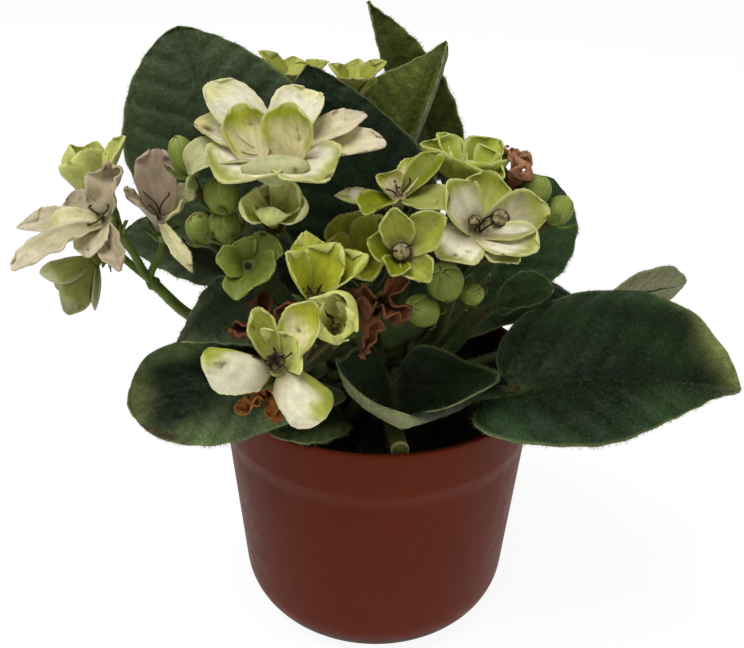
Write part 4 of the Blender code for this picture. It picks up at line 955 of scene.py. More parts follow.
def make_leaf(name, leaf):
    """A leaf: the quilted blade, its petiole and ribs, and the hairs on both."""
    length = leaf_frame(leaf)[1]
    look = LEAF_LOOKS.get(name, HIDDEN_LEAF)
    piece, skin, draw = Piece(), leaf_skin(leaf, name, look), seeded(name, 5)
    width = sum(leaf["halves"])
    rows, columns = int(np.clip(length * 2.2, 36, 110)), int(np.clip(width * 2, 28, 90))

    def thickness(u, v):
        full = smooth(1, 0.6, np.abs(v)) * smooth(0, 0.1, u) * smooth(1, 0.85, u)
        return BLADE_EDGE + (BLADE - BLADE_EDGE) * full

    shell(piece, skin, rows, columns, thickness, 0, leaf_tones(leaf, name, look, skin), capped=False)
    way, radii = petiole_way(leaf)
    green, brown = rgb(look.get("stem", PETIOLE)), rgb(PETIOLE_BROWN)

    def stem_tones(t, turn, points):
        return blend(green, brown, 0.35 + 0.3 * ripples(points, 9, seeded(name, 6)))

    tube(piece, way, radii, stem_tones)
    piece.make(name + "_look", "leaf", name)

    fuzz = Piece()
    number = int(length * width * (1.5 + 3.5 * look["hair_and_sheen"]))
    u, v = draw.uniform(0.04, 0.99, number), draw.uniform(-1, 1, number)
    keep = draw.uniform(0, 1, number) < np.sin(np.pi * u**BASE_CROWDING) * (0.35 + 0.65 * np.abs(v))
    u, v = u[keep], v[keep]
    along, _, normal = slopes(skin, u, v)
    sway = draw.normal(size=(len(u), 3)) * 0.5
    hairs(fuzz, skin(u, v), normal + 0.5 * along + sway, 0.75, BLADE_HAIR, draw)
    number = int(length * 16)
    u = np.arccos(1 - 2 * draw.uniform(0.0, 1, number)) / np.pi
    v = draw.choice([-1.0, 1.0], number)
    _, across, normal = slopes(skin, u, v)
    way_out = across * v[:, None] + draw.normal(size=(number, 3)) * 0.35
    hairs(fuzz, skin(u, v) - normal * 0.15, way_out, 0.85, BLADE_HAIR, draw)
    bare = PETIOLE_STEPS + 2
    stem_hairs(fuzz, way[:bare], radii[:bare], 9, 0.9, draw)
    fuzz.make(name + "_hairs", "leaf_hair")


def bloom_frame(bloom):
    """The throat and the flower's directions: to the right, to the back and along its axis."""
    axis = unit(bloom["axis"])
    right = unit(np.array((1.0, 0, 0)) - axis[0] * axis)
    return np.array(bloom["at"], float), right, np.cross(axis, right), axis


def lapped_petals(bloom):
    """The petals, each second one opened further, so that neighbours lie over each other."""
    lapped = []
    for number, (azimuth, opening, length, width, cup) in enumerate(bloom["petals"]):
        lap = PETAL_LAP if number % 2 else -PETAL_LAP
        if number % 2 == 0 and number == len(bloom["petals"]) - 1:
            lap = 0
        lapped.append((azimuth, opening + lap, length, width, cup))
    return lapped


def petal_surface(bloom, petal, u, v, form):
    """A petal: u runs from its root to its tip and v from edge to edge, -1 to 1."""
    azimuth, opening, length, width, cup = petal
    azimuth, opening = azimuth + form.get("turn", 0), opening + form.get("open", 0)
    form = {**PETAL_FORM, "curl": bloom["curl"], **form}
    at, right, back, axis = bloom_frame(bloom)
    out, aside = around(azimuth, right, back), around(azimuth, back, -right)
    rise = np.clip(u / PETAL_WIDEST, 0, 1)
    fall = np.clip((u - PETAL_WIDEST) / (1 - PETAL_WIDEST), 0, 1)
    half = form["wide"] * width / 2 * (form["root"] + (1 - form["root"]) * np.sin(np.pi / 2 * rise))
    half = half * np.sqrt(1 - form["blunt"] * fall**2.5)
    bow = form["bow"] * (0.5 * v**2 + 0.5 * v**6) + form["notch"] * np.exp(-(v / 0.3)**2)
    run = u * (1 - bow * u**2)
    steps = np.linspace(0, 1, 41)
    bend = math.radians(form["curl"])
    angles = math.radians(opening) + bend * (steps - 0.5) + math.radians(form["hook"]) * smooth(0.5, 1, steps)
    reach = PETAL_ROOT + form["long"] * length * np.concatenate([[0], np.cumsum(np.sin(angles[1:]))]) / 40
    climb = form["long"] * length * np.concatenate([[0], np.cumsum(np.cos(angles[1:]))]) / 40
    angle = np.interp(run, steps, angles)
    lift = form["cup"] * cup * v**2 * half / width
    reach = np.interp(run, steps, reach) - np.cos(angle) * lift
    climb = np.interp(run, steps, climb) + np.sin(angle) * lift
    swing = half * v + form["sweep"] * u**2
    at = at + right * form["shift"][0] + back * form["shift"][1]
    return at + np.outer(reach, out) + np.outer(climb, axis) + np.outer(swing, aside)


def petal_skin(bloom, petal, ruffle, form, draw):
    """A petal with a ruffled, finely toothed rim and a crease down its middle."""
    phase = draw.uniform(0, 6.28, 4)
    crease = form.get("crease", draw.uniform(0.05, 0.2))

    def plain(u, v):
        return petal_surface(bloom, petal, u, v, form)

    def skin(u, v):
        points = plain(u, v)
        along, across, normal = slopes(plain, u, v)
        edge = np.abs(v)**3 * smooth(0.15, 0.6, u)
        waves = ruffle * (0.6 * edge * np.sin(6 * u + phase[0] + v)
                          + 0.35 * smooth(0.6, 1, u) * np.sin(4 * v + phase[1])
                          + 0.25 * edge * np.sin(17 * u + phase[2]))
        waves = waves - crease * np.exp(-(v / 0.12)**2) * np.sin(np.pi * u)
        crumples = ripples(points, 3.5, seeded(str(phase[0])), 7) * smooth(0, 0.4, u)
        waves = waves + form.get("crumple", 0) * crumples
        teeth = 0.08 * np.sin(46 * u + phase[3]) * np.abs(v)**10 * np.sign(v)
        notch = 0.3 * ruffle * np.sin(19 * v + phase[0]) * smooth(0.9, 1, u)
        return points + normal * waves[:, None] + across * teeth[:, None] + along * notch[:, None]

    return skin


def petal_tones(style, skin, name, number, form):
    """The colours of the petal's two faces."""
    look = STYLES[style]
    root, body, outer, rim, back = (rgb(look[key]) for key in ("root", "body", "outer", "rim", "back"))
    brown = rgb(PETAL_BROWN)

    def tones(u, v, face):
        points = skin(u, v)
        mottle = ripples(points, 4, seeded(name, number), 8)
        fine = ripples(points, 0.9, seeded(name, number + 40), 8)
        near = np.maximum(np.abs(v)**3.5 * smooth(0.05, 0.4, u), smooth(0.35, 1.05, u))
        if "edge" in form:
            side = v * form["edge"]
            near = np.maximum(near * smooth(-1.2, 0.4, side), 0.95 * smooth(-0.15, 0.95, side))
        streak = 0.5 + 0.3 * np.sin(v * 15 + 2 * mottle) + 0.2 * np.sin(v * 41 + 3 * mottle)
        band = smooth(1 - look["band"] * 1.6, 1 - look["band"] * 0.3, near + 0.06 * mottle + 0.07 * streak)
        colour = blend(body if face > 0 else back, outer, band * (1 if face > 0 else 0.6))
        colour = blend(colour, root, smooth(0.42, 0.08, u + 0.05 * streak) * 0.85)
        colour = colour * (1 + 0.08 * mottle + 0.04 * fine - 0.24 * (streak - 0.5))[:, None]
        colour = blend(colour, rim, smooth(0.91, 0.99, np.maximum(np.abs(v), u) + 0.03 * mottle) * 0.5)
        blots = ripples(points, 2.4, seeded(name, number + 80)) + 0.4 * near
        colour = blend(colour, brown, 0.85 * smooth(1.7 - 0.75 * look["spots"], 2.2, blots))
        if "mark" in form:
            at, aside, size = form["mark"]
            far = np.hypot((u - at) / size, (v - aside) / size / 1.5) + 0.15 * fine
            rim_line = smooth(0.3, 0.15, np.abs(far - 0.85))
            colour = blend(colour, brown, 0.55 * smooth(1, 0.75, far) + 0.3 * rim_line)
        return colour

    return tones


def sepals(piece, foot, axis, opening, length, name, curl=18):
    """The five narrow pointed lobes of a calyx."""
    calyx = dict(at=foot, axis=axis, curl=curl)
    draw = seeded(name, 31)
    turn = draw.uniform(0, 72)

    for number in range(5):
        petal = (turn + 72 * number, opening + draw.uniform(-6, 6), length * draw.uniform(0.85, 1.1),
                 1.5, 0.5)

        def surface(u, v, petal=petal):
            return petal_surface(calyx, petal, u, v, SEPAL_FORM)

        def tones(u, v, face):
            return blend(rgb(SEPAL), rgb(SEPAL_TIP), smooth(0.3, 1, u))

        shell(piece, surface, 9, 5, lambda u, v: 0.45 - 0.2 * u, 0.5, tones)


def filaments(piece, name, number, reach):
    """The dark dried filaments that curl out of an old flower's throat."""
    at, right, back, axis = bloom_frame(BLOOMS[name])
    draw = seeded(name, 51)

    def dark(t, turn, points):
        return blend(rgb(FILAMENT), rgb(FILAMENT_TIP), 0.5 * t)

    for turn in np.arange(number) * 360 / number + draw.uniform(0, 60):
        side = around(turn, right, back)
        end = at + side * reach * draw.uniform(0.3, 0.9) + axis * reach * draw.uniform(0.5, 1)
        way = bezier(at + side * 0.4, at + axis * reach * 0.6 + side * draw.uniform(-2, 2),
                     end - axis * draw.uniform(0, 2) + right * draw.uniform(-2, 2), end, 14)
        tube(piece, way, [0.16] * (len(way) - 2) + [0.24, 0.2], dark, 7)


def make_bloom(name, bloom):
    """A flower: its throat, its ruffled petals and the small stamens inside."""
    piece = Piece()
    at, _, _, axis = bloom_frame(bloom)
    styles = PETAL_STYLES.get(name, "dry").split()
    pale = rgb(STYLES[styles[0]]["root"])
    # The throat goes from its root colour to painted shade, 0.4 as bright, down in its hole.
    deep = pale * 0.4

    def throat_tones(t, turn, points):
        return blend(pale, deep, smooth(0.62, 0.8, t))

    profile = [(0.1, -THROAT_DEPTH), (0.9, -THROAT_DEPTH), (1.2, -1.5), (1.55, -0.6), (THROAT_RADIUS, 0.4),
               (1.5, 0.5), (1.2, 0.3), (0.8, 0.25), (0.5, 0.6), (0.3, 1.5), (0.1, 1.6)]
    turned(piece, at, axis, profile, throat_tones, ridges=0.05)
    forms = FORMS.get(name, {})
    for number, petal in enumerate(lapped_petals(bloom)):
        style = styles[number % len(styles)]
        own = forms.get(number, {})
        for lobe, part in enumerate(own if isinstance(own, list) else [own]):
            form, extra = {**forms.get("all", {}), **part}, number + 20 * lobe
            skin = petal_skin(bloom, petal, STYLES[style]["ruffle"], form, seeded(name, extra))
            shell(piece, skin, PETAL_ROWS, PETAL_COLUMNS, lambda u, v: 0.55 - 0.25 * np.maximum(u, np.abs(v)),
                  0.5, petal_tones(style, skin, name, extra, form), crowd=1.6)
    if name in DRIED:
        filaments(piece, name, *DRIED[name])
    piece.make(name + "_look", bloom["slot"], name)


def make_stamens(name, stamens):
    """Dried anthers on their bent filaments, in a knot over the throat."""
    piece = Piece()
    at, right, back, axis = bloom_frame(BLOOMS[stamens["bloom"]])
    centre = at + axis * stamens["rise"]
    radius, draw = stamens["radius"], seeded(name)

    def knob_tones(t, turn, points):
        shade = blend(rgb(KNOB), rgb(KNOB_TOP), smooth(0.5, 0.9, t))
        return shade * (1 + 0.2 * ripples(points, 1.0, seeded(name, 1)))[:, None]

    def ball_tones(t, turn, points):
        grains = smooth(-0.2, 0.9, ripples(points, 1.1, seeded(name, 2)))
        shade = blend(rgb(BALL), rgb(BALL_GRAIN), 0.75 * grains)
        return blend(shade, rgb(BALL_SEAM), 0.9 * smooth(0.1, 0.04, np.abs(t - 0.64)))

    def dark(t, turn, points):
        return rgb(STAMEN_STEM)

    for aside, behind, up, size in stamens.get("balls", ()):
        ball = at + right * aside + back * behind + axis * up
        profile = oval(size, size * 0.8, np.linspace(-np.pi / 2, np.pi / 2, 17), 0.02)
        turned(piece, ball, unit(axis - back * 0.4), profile, ball_tones, 30, 0.02, 7)
        for bend in (-1.6, 1.2):
            way = bezier(at + right * 0.3 * bend, at + axis * 2.2 - back * bend,
                         ball + axis * 1.5 + right * bend, ball + axis * size * 0.5, 14)
            tube(piece, way, [0.17] * len(way), dark, 7)
    for turn in np.arange(0 if "balls" in stamens else 5) * 72 + draw.uniform(0, 72):
        side = around(turn, right, back)
        knob = centre + side * radius * 0.5 + axis * draw.uniform(-0.3, 0.4)
        size = radius * 0.5
        profile = [(0.02, -size), (size * 0.7, -size * 0.7), (size, 0), (size * 0.8, size * 0.5),
                   (size * 0.45, size * 0.62), (0.3 * size, 0.4 * size), (0.02, size * 0.35)]
        turned(piece, knob, unit(side + axis * 0.8), profile, knob_tones, 14, 0.08, 3)
        start = at + side * 0.6 - axis * 0.4
        way = bezier(start, start + axis * 1.2 + side * draw.uniform(-1, 1.4),
                     knob - side * draw.uniform(-1, 1), knob, 10)
        tube(piece, way, [0.13] * len(way), dark, 6)
    for turn in (20, 200):
        side = around(turn, right, back)
        end = centre + side * radius * 0.95 + axis * radius * 0.5
        way = bezier(at + side * 0.3, at + axis * 2 - side, end + axis * 0.8, end, 12)
        tube(piece, way, [0.14] * len(way), dark, 6)
    piece.make(name + "_look", "withered", name)


def green_stem(name, base):
    """A stem's green with browner patches."""
    def tones(t, turn, points):
        colour = rgb(base) * (1 + 0.15 * ripples(points, 7, seeded(name, 8)))[:, None]
        return blend(colour, rgb(STALK_BROWN), 0.2 + 0.25 * ripples(points, 15, seeded(name, 9)))
    return tones


def bud_lobes(piece, centre, heading, radius, length, name):
    """The closed petals of a bud, which lap over each other."""
    one = unit(np.cross(heading, (0.3, 1, 0.2)))
    two = np.cross(heading, one)
    first = seeded(name, 61).uniform(0, 6)
    for number, layer in enumerate((0, 2, 1, 3, 1.5)):

        def lobe(u, v, layer=layer, middle=first + math.radians(72 * number)):
            angle = np.pi * (0.08 + (0.84 + 0.03 * layer) * u * (1 - 0.12 * v**2 * u)) - np.pi / 2
            turn = middle + v * math.radians(58) * (1 - 0.45 * u**3)
            full = 0.98 + 0.025 * layer + 0.08 * (1 - v**2) * np.sin(np.pi * u)
            across = radius * np.cos(angle) * full
            return (centre + np.outer(length / 2 * np.sin(angle) * full, heading)
                    + np.outer(across * np.cos(turn), one) + np.outer(across * np.sin(turn), two))

        shell(piece, lobe, 18, 13, lambda u, v: 0.35 - 0.15 * np.maximum(u, np.abs(v)), 0.5,
              petal_tones("bud", lobe, name, number, {}))


def make_stalk(name, stalk):
    """A flower stalk: the peduncle, its pedicels with their calyxes, and its buds, all with short hairs."""
    piece, fuzz, draw = Piece(), Piece(), seeded(name, 3)
    first, second, _ = crown_exit(stalk["root"])
    way = [first] + smooth_way([second, *stalk["way"]], 12)
    fork, onward = way[-1], unit(way[-1] - way[-2])
    radii = np.linspace(PEDUNCLE_RADIUS, PEDUNCLE_END, len(way))
    tones = green_stem(name, STALK if name == "stalk_far_left" else SHADED_STALK)
    tube(piece, way, radii, tones)
    stem_hairs(fuzz, way, radii, 8, 0.6, draw)
    knot = [(0.1, -1.4), (1.15, -0.9), (1.45, 0), (1.2, 0.8), (0.1, 1.3)]
    turned(piece, fork, onward, knot, tones, ridges=0.1)

    def pedicel(foot, heading):
        reach = np.linalg.norm(foot - fork)
        way = bezier(fork, fork + onward * reach * STEM_ARRIVE, foot - heading * reach * STEM_LEAVE, foot, 18)
        tube(piece, way, [PEDICEL_RADIUS] * len(way), tones, 10)
        stem_hairs(fuzz, way, [PEDICEL_RADIUS] * len(way), 7, 0.5, draw)

    for bloom in stalk["blooms"]:
        at, _, _, axis = bloom_frame(BLOOMS[bloom])
        rim = at - axis * (THROAT_DEPTH + GAP)
        foot = rim - axis * CALYX_DEPTH
        pedicel(foot, axis)
        calyx = [(0.1, -0.2), (CALYX_FOOT, 0), (1.3, 0.7), (CALYX_RADIUS, CALYX_DEPTH * 0.8),
                 (CALYX_RADIUS * 0.9, CALYX_DEPTH), (0.1, CALYX_DEPTH - 0.2)]
        turned(piece, foot, axis, calyx, tones, ridges=0.06)
        sepals(piece, foot + axis * 0.5, axis, 38, 4.6, name + bloom)
    for number, (centre, radius, length) in enumerate(stalk["buds"]):
        centre = np.array(centre, float)
        heading = unit(unit(centre - fork) + np.array((0, 0, BUD_LIFT)))
        foot = centre - heading * length * BUD_SEAT
        pedicel(foot, heading)
        bud = dict(name="%s_%d" % (name, number), turn=draw.uniform(0, 6))

        def bud_tones(t, turn, points, bud=bud):
            colour = blend(rgb(BUD_LOW), rgb(BUD_HIGH),
                           smooth(0.1, 0.9, t) + 0.2 * ripples(points, 3, seeded(bud["name"])))
            # Painted shade darkens the seams between the lobes towards the bud's tip.
            seam = np.abs(np.sin(2.5 * (turn + 1.2 * t) + bud["turn"]))
            colour = colour * (1 - 0.35 * smooth(0.3, 0.0, seam) * smooth(0.3, 0.7, t))[:, None]
            return blend(colour, rgb(BUD_SEAM), smooth(0.35, 0.5, seam) * smooth(0.7, 0.5, seam)
                         * smooth(0.5, 0.9, t) * 0.5)

        profile = oval(0.93 * radius, length / 2.1, np.linspace(-np.pi / 2, np.pi / 2, 25), 0.03)
        turned(piece, centre, heading, profile, bud_tones, 40, 0.045, 5, 0.35)
        bud_lobes(piece, centre, heading, radius, length, bud["name"])
        sepals(piece, foot - heading * 0.3, heading, 44, min(length * 0.7, 4.6), bud["name"], -75)
    piece.make(name + "_look", "stem", name)
    fuzz.make(name + "_hairs", "leaf_hair")


def make_cut_petiole():
    """The petiole whose leaf was cut off, with the ring of its cut end."""
    piece, fuzz = Piece(), Piece()
    first, second, out = crown_exit(CUT_PETIOLE["root"])
    end = np.array(CUT_PETIOLE["end"])
    reach = np.linalg.norm(end - second)
    leave, arrive = second + out * reach * STEM_LEAVE, end - out * reach * STEM_ARRIVE
    way = [first] + bezier(second, leave, arrive, end, 24)
    radius = CUT_PETIOLE["radius"]
    tube(piece, way, [radius] * len(way), green_stem("cut", CUT_STEM), 20)
    ahead = unit(way[-1] - way[-2])

    def cut_tones(t, turn, points):
        ring = np.abs(t - 0.55) < 0.14
        mottle = 1 + 0.15 * ripples(points, 0.8, seeded("cut", 2))
        return np.where(ring[:, None], rgb(CUT_RING), rgb(CUT_FACE)) * mottle[:, None]

    profile = [(radius * 1.04, -0.5), (radius * 1.05, 0.02), (radius * 0.9, 0.12), (radius * 0.72, 0.02),
               (radius * 0.5, -0.06), (radius * 0.3, 0.04), (0.05, 0.08)]
    turned(piece, end, ahead, profile, cut_tones, 28)
    stem_hairs(fuzz, way, [radius] * len(way), 9, 0.8, seeded("cut", 4))
    piece.make("cut_petiole_look", "stem", "cut_petiole")
    fuzz.make("cut_petiole_hairs", "leaf_hair")


def make_crown():
    """The crown: a short thick stem with the scars of old leaves."""
    piece = Piece()
    heights = np.linspace(CROWN_FOOT + GAP, CROWN_TOP - 3, 44)
    profile = [(0.1, heights[0])]
    profile += [(CROWN_RADIUS * (0.96 + 0.04 * math.sin(2.6 * h)), h) for h in heights]
    profile += [(CROWN_RADIUS * 0.86, CROWN_TOP - 1.9), (4.5, CROWN_TOP - 0.8), (2, CROWN_TOP - 0.2),
                (0.1, CROWN_TOP)]

    def tones(t, turn, points):
        colour = blend(rgb(CROWN_LOW), rgb(CROWN_HIGH), smooth(0.6, 0.95, t))
        return colour * (1 + 0.25 * ripples(points, 3, seeded("crown")))[:, None]

    turned(piece, (0, 0, 0), (0, 0, 1), profile, tones, 60, 0.02, 7, 0.7)
    piece.make("crown_look", "stem", "crown")


def wall_radius(height):
    """The outer radius of the pot's wall under the rim band."""
    return RIM_RADIUS - BAND_STEP - WALL_SLOPE * (POT_HEIGHT - height)


def make_pot():
    """The pot: a thin tapering wall with a rim band, a rounded foot and drain holes."""
    piece = Piece()
    band = POT_HEIGHT - BAND_HEIGHT
    slant = math.atan(WALL_SLOPE)
    start = BASE_CORNER * (1 - math.sin(slant))
    centre = wall_radius(start) - BASE_CORNER * math.cos(slant)
    foot = [(centre + BASE_CORNER * math.cos(a), BASE_CORNER * (1 + math.sin(a)))
            for a in np.linspace(-math.pi / 2, -slant, 16)]
    outer = [(wall_radius(h), h) for h in np.linspace(start, band, 14)[1:]]
    rim = [(RIM_RADIUS - WALL_SLOPE * (POT_HEIGHT - h), h)
           for h in np.linspace(band + BAND_STEP, POT_HEIGHT - 0.4, 9)]
    lip = [(RIM_RADIUS - 0.12, POT_HEIGHT - 0.12), (RIM_RADIUS - 0.4, POT_HEIGHT),
           (RIM_RADIUS - WALL + 0.4, POT_HEIGHT), (RIM_RADIUS - WALL + 0.1, POT_HEIGHT - 0.15)]
    inner = [(RIM_RADIUS - WALL - WALL_SLOPE * (POT_HEIGHT - h), h)
             for h in np.linspace(POT_HEIGHT - 0.5, BASE_CORNER, 12)]
    bowl = [(inner[-1][0] - BASE_CORNER * s * 0.62, FLOOR + (BASE_CORNER - FLOOR) * (1 - s)**1.6)
            for s in np.linspace(0.15, 1, 7)]
    profile = [(0.1, 0), (foot[0][0] * 0.5, 0), *foot, *outer, *rim, *lip, *inner, *bowl, (0.1, FLOOR)]

    def tones(t, turn, points):
        far, height = np.hypot(points[:, 0], points[:, 1]), points[:, 2]
        streaks = ripples(points * (1, 1, 4), 5, seeded("pot", 1))
        colour = rgb(POT) * (1 + 0.03 * ripples(points, 30, seeded("pot")) + 0.015 * streaks)[:, None]
        # Painted shade: a dark line round the wall just under the rim band.
        line = np.exp(-((height - BAND_SHADOW_HEIGHT) / 0.7)**2)
        # Painted shade: the inner wall darker below the lip, where shadow falls inside the pot.
        inside = smooth(wall_radius(height) - 0.4, wall_radius(height) - 0.9, far)
        inside = inside * smooth(POT_HEIGHT, POT_HEIGHT - 1.5, height) * smooth(1, 3, height)
        # Painted shade: the wall is also darker towards the foot, over its lowest 9 mm.
        return colour * (1 - 0.16 * line - 0.1 * smooth(9, 0, height) - 0.6 * inside)[:, None]

    turned(piece, (0, 0, 0), (0, 0, 1), profile, tones, POT_SIDES)
    pot = piece.make("pot_look", "terracotta_plastic", "pot")
    cutter = Piece()
    for number in range(DRAIN_HOLES):
        angle = 2 * math.pi * number / DRAIN_HOLES
        at = (DRAIN_RING * math.cos(angle), DRAIN_RING * math.sin(angle), 0)
        turned(cutter, at, (0, 0, 1), [(0.01, -2), (DRAIN_RADIUS, -2), (DRAIN_RADIUS, 4), (0.01, 4)],
               lambda t, turn, points: rgb(DRAIN_HOLE), 32)
    holes = cutter.make("holes", "terracotta_plastic")
    cut = pot.modifiers.new("holes", "BOOLEAN")
    cut.operation, cut.solver, cut.object = "DIFFERENCE", "EXACT", holes
    bpy.context.view_layer.update()
    pot.data = bpy.data.meshes.new_from_object(pot.evaluated_get(bpy.context.evaluated_depsgraph_get()))
    pot.modifiers.clear()
    bpy.data.objects.remove(holes)
    pot.data.set_sharp_from_angle(angle=math.radians(50))


def make_soil():
    """The compost: a crumbly top with loose crumbs, in the pot's own shape below."""
    piece, draw = Piece(), seeded("soil")
    edge = RIM_RADIUS - WALL - 2 * GAP - WALL_SLOPE * (POT_HEIGHT - SOIL_TOP)
    hole = CROWN_RADIUS + GAP
    profile = [(0.2, SOIL_TOP - 10), (hole, SOIL_TOP - 9.9), (hole, SOIL_TOP - 0.6)]
    profile += [(r, SOIL_TOP) for r in np.linspace(hole + 0.3, edge - 0.3, 46)]
    profile += [(edge, SOIL_TOP - 0.8), (edge - 2, SOIL_TOP - 25), (edge - 3.5, BASE_CORNER + 1),
                (edge - 9, 3.4), (0.2, FLOOR + GAP)]

    def tones(t, turn, points):
        light = ripples(points, 2.2, seeded("soil", 2)) + ripples(points, 0.9, seeded("soil", 3))
        return blend(rgb(SOIL_DARK), rgb(SOIL_LIGHT), 0.25 + 0.25 * light)

    turned(piece, (0, 0, 0), (0, 0, 1), profile[::-1], tones, 150)
    points = piece.points[0]
    radius = np.hypot(points[:, 0], points[:, 1])
    top = (points[:, 2] > SOIL_TOP - 1) & (radius > hole + 0.2) & (radius < edge - 0.2)
    rough = (ripples(points, 6, seeded("soil", 4)) * 0.5 + ripples(points, 2.4, seeded("soil", 5)) * 0.35
             + ripples(points, 1.1, seeded("soil", 6)) * 0.2)
    points[top, 2] += rough[top]
    for _ in range(CRUMBS):
        angle, far = draw.uniform(0, 2 * np.pi), draw.uniform(hole + 1.5, edge - 1.5)
        size = draw.uniform(0.35, 1.1)
        at = (far * math.cos(angle), far * math.sin(angle), SOIL_TOP + 0.35 * size)
        profile = oval(size, size * 0.7, np.linspace(-1.5, 1.5, 6))
        turned(piece, at, draw.normal(size=3), profile, tones, 7, 0.25, 3, draw.uniform(-2, 2))
    piece.make("soil_look", "soil", "soil")


def surface_material(name, mottles, roughness, bumps, sheen=0.0, subsurface=0.0, specular=0.5):
    """A material whose colour comes from the piece's tones, mottled, with roughness and bump of its own."""
    made = FINISHES[name] = bpy.data.materials.new(name)
    made.use_nodes = True
    nodes, links = made.node_tree.nodes, made.node_tree.links
    shader = nodes["Principled BSDF"]
    place = nodes.new("ShaderNodeTexCoord").outputs["Object"]
    tone = nodes.new("ShaderNodeAttribute")
    tone.attribute_name = "tone"
    colour = tone.outputs["Color"]

    def noise(wavelength, detail=4):
        made = nodes.new("ShaderNodeTexNoise")
        made.inputs["Scale"].default_value = 1 / (wavelength * MM)
        made.inputs["Detail"].default_value = detail
        links.new(place, made.inputs["Vector"])
        return made.outputs["Fac"]

    def ranged(value, low, high):
        made = nodes.new("ShaderNodeMapRange")
        for key, number in (("From Min", 0.3), ("From Max", 0.7), ("To Min", low), ("To Max", high)):
            made.inputs[key].default_value = number
        links.new(value, made.inputs["Value"])
        return made.outputs["Result"]

    for wavelength, spread in mottles:
        scale = nodes.new("ShaderNodeVectorMath")
        scale.operation = "SCALE"
        links.new(colour, scale.inputs[0])
        links.new(ranged(noise(wavelength), 1 - spread, 1 + spread), scale.inputs["Scale"])
        colour = scale.outputs["Vector"]
    links.new(colour, shader.inputs["Base Color"])
    links.new(ranged(noise(3), *roughness), shader.inputs["Roughness"])
    normal = None
    for kind, wavelength, height in bumps:
        if kind == "cells":
            cells = nodes.new("ShaderNodeTexVoronoi")
            cells.inputs["Scale"].default_value = 1 / (wavelength * MM)
            links.new(place, cells.inputs["Vector"])
            value = cells.outputs["Distance"]
        else:
            value = noise(wavelength, 6)
        bump = nodes.new("ShaderNodeBump")
        bump.inputs["Strength"].default_value = 1
        bump.inputs["Distance"].default_value = height * MM
        links.new(value, bump.inputs["Height"])
        if normal:
            links.new(normal, bump.inputs["Normal"])
        normal = bump.outputs["Normal"]
    links.new(normal, shader.inputs["Normal"])
    shader.inputs["Sheen Weight"].default_value = sheen
    shader.inputs["Sheen Roughness"].default_value = 0.4
    shader.inputs["Sheen Tint"].default_value = (0.75, 0.85, 0.6, 1)
    shader.inputs["Specular IOR Level"].default_value = specular
    if subsurface:
        shader.inputs["Subsurface Weight"].default_value = subsurface
        shader.inputs["Subsurface Radius"].default_value = (0.6 * MM, 0.8 * MM, 0.3 * MM)
        shader.inputs["Subsurface Scale"].default_value = 1


def make_materials():
    """The finish of each slot."""
    surface_material("terracotta_plastic", [(40, 0.04), (2.2, 0.03)], (0.4, 0.52),
                     [("noise", 12, 0.03), ("noise", 0.7, 0.006)], specular=0.06)
    surface_material("soil", [(1.4, 0.4), (0.5, 0.3)], (0.8, 1.0), [("noise", 1.2, 0.5), ("noise", 0.4, 0.2)],
                     specular=0.2)
    surface_material("leaf", [(6, 0.1), (0.5, 0.34)], (0.4, 0.7), [("cells", 1.5, 0.2), ("noise", 0.5, 0.1)],
                     sheen=0.03, specular=0.13)
    surface_material("leaf_hair", [(3, 0.15)], (0.6, 0.8), [("noise", 0.5, 0.02)], specular=0.1)
    surface_material("stem", [(4, 0.1), (0.6, 0.1)], (0.45, 0.65),
                     [("noise", 1.2, 0.08), ("noise", 0.3, 0.03)], sheen=0.03, specular=0.15)
    surface_material("petal_white", [(3, 0.04), (0.6, 0.04)], (0.45, 0.65),
                     [("noise", 1.6, 0.08), ("cells", 0.35, 0.02)], subsurface=0.3, specular=0.25)
    surface_material("petal_green", [(3, 0.07), (0.6, 0.06)], (0.4, 0.6),
                     [("noise", 1.6, 0.08), ("cells", 0.35, 0.02)], subsurface=0.2, specular=0.25)
    surface_material("withered", [(2, 0.25), (0.5, 0.2)], (0.65, 0.9),
                     [("noise", 1, 0.25), ("noise", 0.3, 0.08)], specular=0.1)


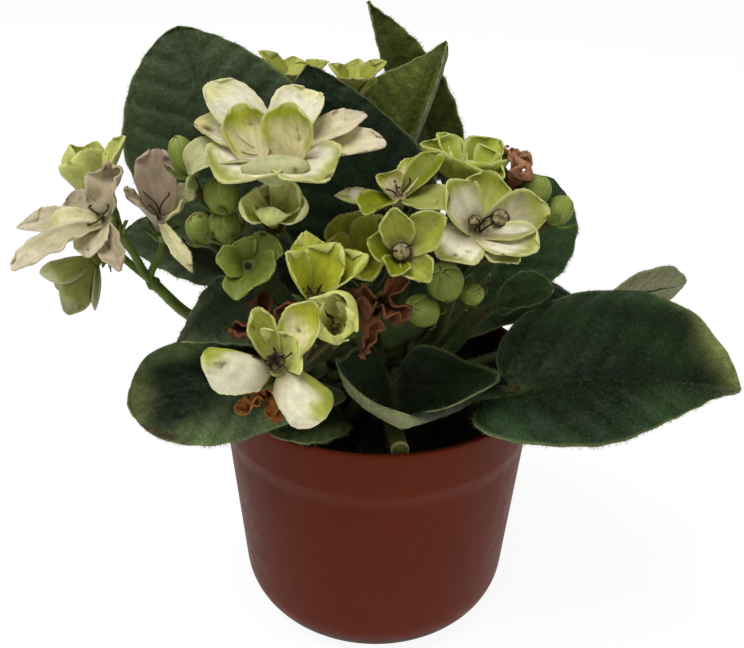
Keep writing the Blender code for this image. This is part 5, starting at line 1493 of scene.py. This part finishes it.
def make_camera():
    """The photograph's viewpoint."""
    pitch, roll = math.radians(CAMERA_PITCH), math.radians(CAMERA_ROLL)
    forward = np.array((0, math.cos(pitch), -math.sin(pitch)))
    right, up = np.array((1.0, 0, 0)), np.array((0, math.sin(pitch), math.cos(pitch)))
    right, up = right * math.cos(roll) + up * math.sin(roll), up * math.cos(roll) - right * math.sin(roll)
    lens = bpy.data.cameras.new("camera")
    lens.lens, lens.sensor_width, lens.sensor_fit = CAMERA_LENS, SENSOR, "HORIZONTAL"
    lens.clip_start, lens.clip_end = 0.01, 20
    camera = bpy.data.objects.new("camera", lens)
    bpy.context.scene.collection.objects.link(camera)
    turn = Matrix([[*row] for row in np.stack([right, up, -forward], 1)]).to_4x4()
    camera.matrix_world = Matrix.Translation(CAMERA) @ turn
    bpy.context.scene.camera = camera


def area_light(name, at, size, watts):
    """A soft white lamp, aimed at the plant."""
    data = bpy.data.lights.new(name, "AREA")
    data.shape, data.size, data.energy = "DISK", size, watts
    lamp = bpy.data.objects.new(name, data)
    bpy.context.scene.collection.objects.link(lamp)
    lamp.location = at
    lamp.rotation_euler = (Vector(LAMPS_AIM) - Vector(at)).to_track_quat("-Z", "Y").to_euler()


def make_studio():
    """A white floor, soft light from above and a pale surround."""
    mesh = bpy.data.meshes.new("floor")
    half = FLOOR_HALF
    corners = [(-half, -half, 0), (half, -half, 0), (half, half, 0), (-half, half, 0)]
    mesh.from_pydata(corners, [], [(0, 1, 2, 3)])
    floor = bpy.data.objects.new("floor", mesh)
    bpy.context.scene.collection.objects.link(floor)
    paint = bpy.data.materials.new("floor")
    paint.use_nodes = True
    shader = paint.node_tree.nodes["Principled BSDF"]
    shader.inputs["Base Color"].default_value = (*[FLOOR_PAINT] * 3, 1)
    shader.inputs["Emission Color"].default_value = (1, 1, 1, 1)
    shader.inputs["Emission Strength"].default_value = FLOOR_GLOW
    shader.inputs["Specular IOR Level"].default_value = 0
    mesh.materials.append(paint)
    world = bpy.data.worlds.new("surround")
    world.use_nodes = True
    world.node_tree.nodes["Background"].inputs["Color"].default_value = (1, 1, 1, 1)
    world.node_tree.nodes["Background"].inputs["Strength"].default_value = WORLD_LIGHT
    bpy.context.scene.world = world
    area_light("key", at=(-0.25, -0.2, 0.95), size=0.8, watts=8)
    area_light("fill", at=(0.6, -0.5, 0.6), size=0.6, watts=1.2)
    bpy.context.scene.view_settings.view_transform = "Standard"


def main():
    """Makes every piece of the plant."""
    make_materials()
    make_camera()
    make_studio()
    make_pot()
    make_soil()
    make_crown()
    for name, leaf in LEAVES.items():
        make_leaf(name, leaf)
    make_cut_petiole()
    for name, stalk in STALKS.items():
        make_stalk(name, stalk)
    for name, bloom in BLOOMS.items():
        make_bloom(name, bloom)
    for name, stamens in STAMENS.items():
        make_stamens(name, stamens)


main()
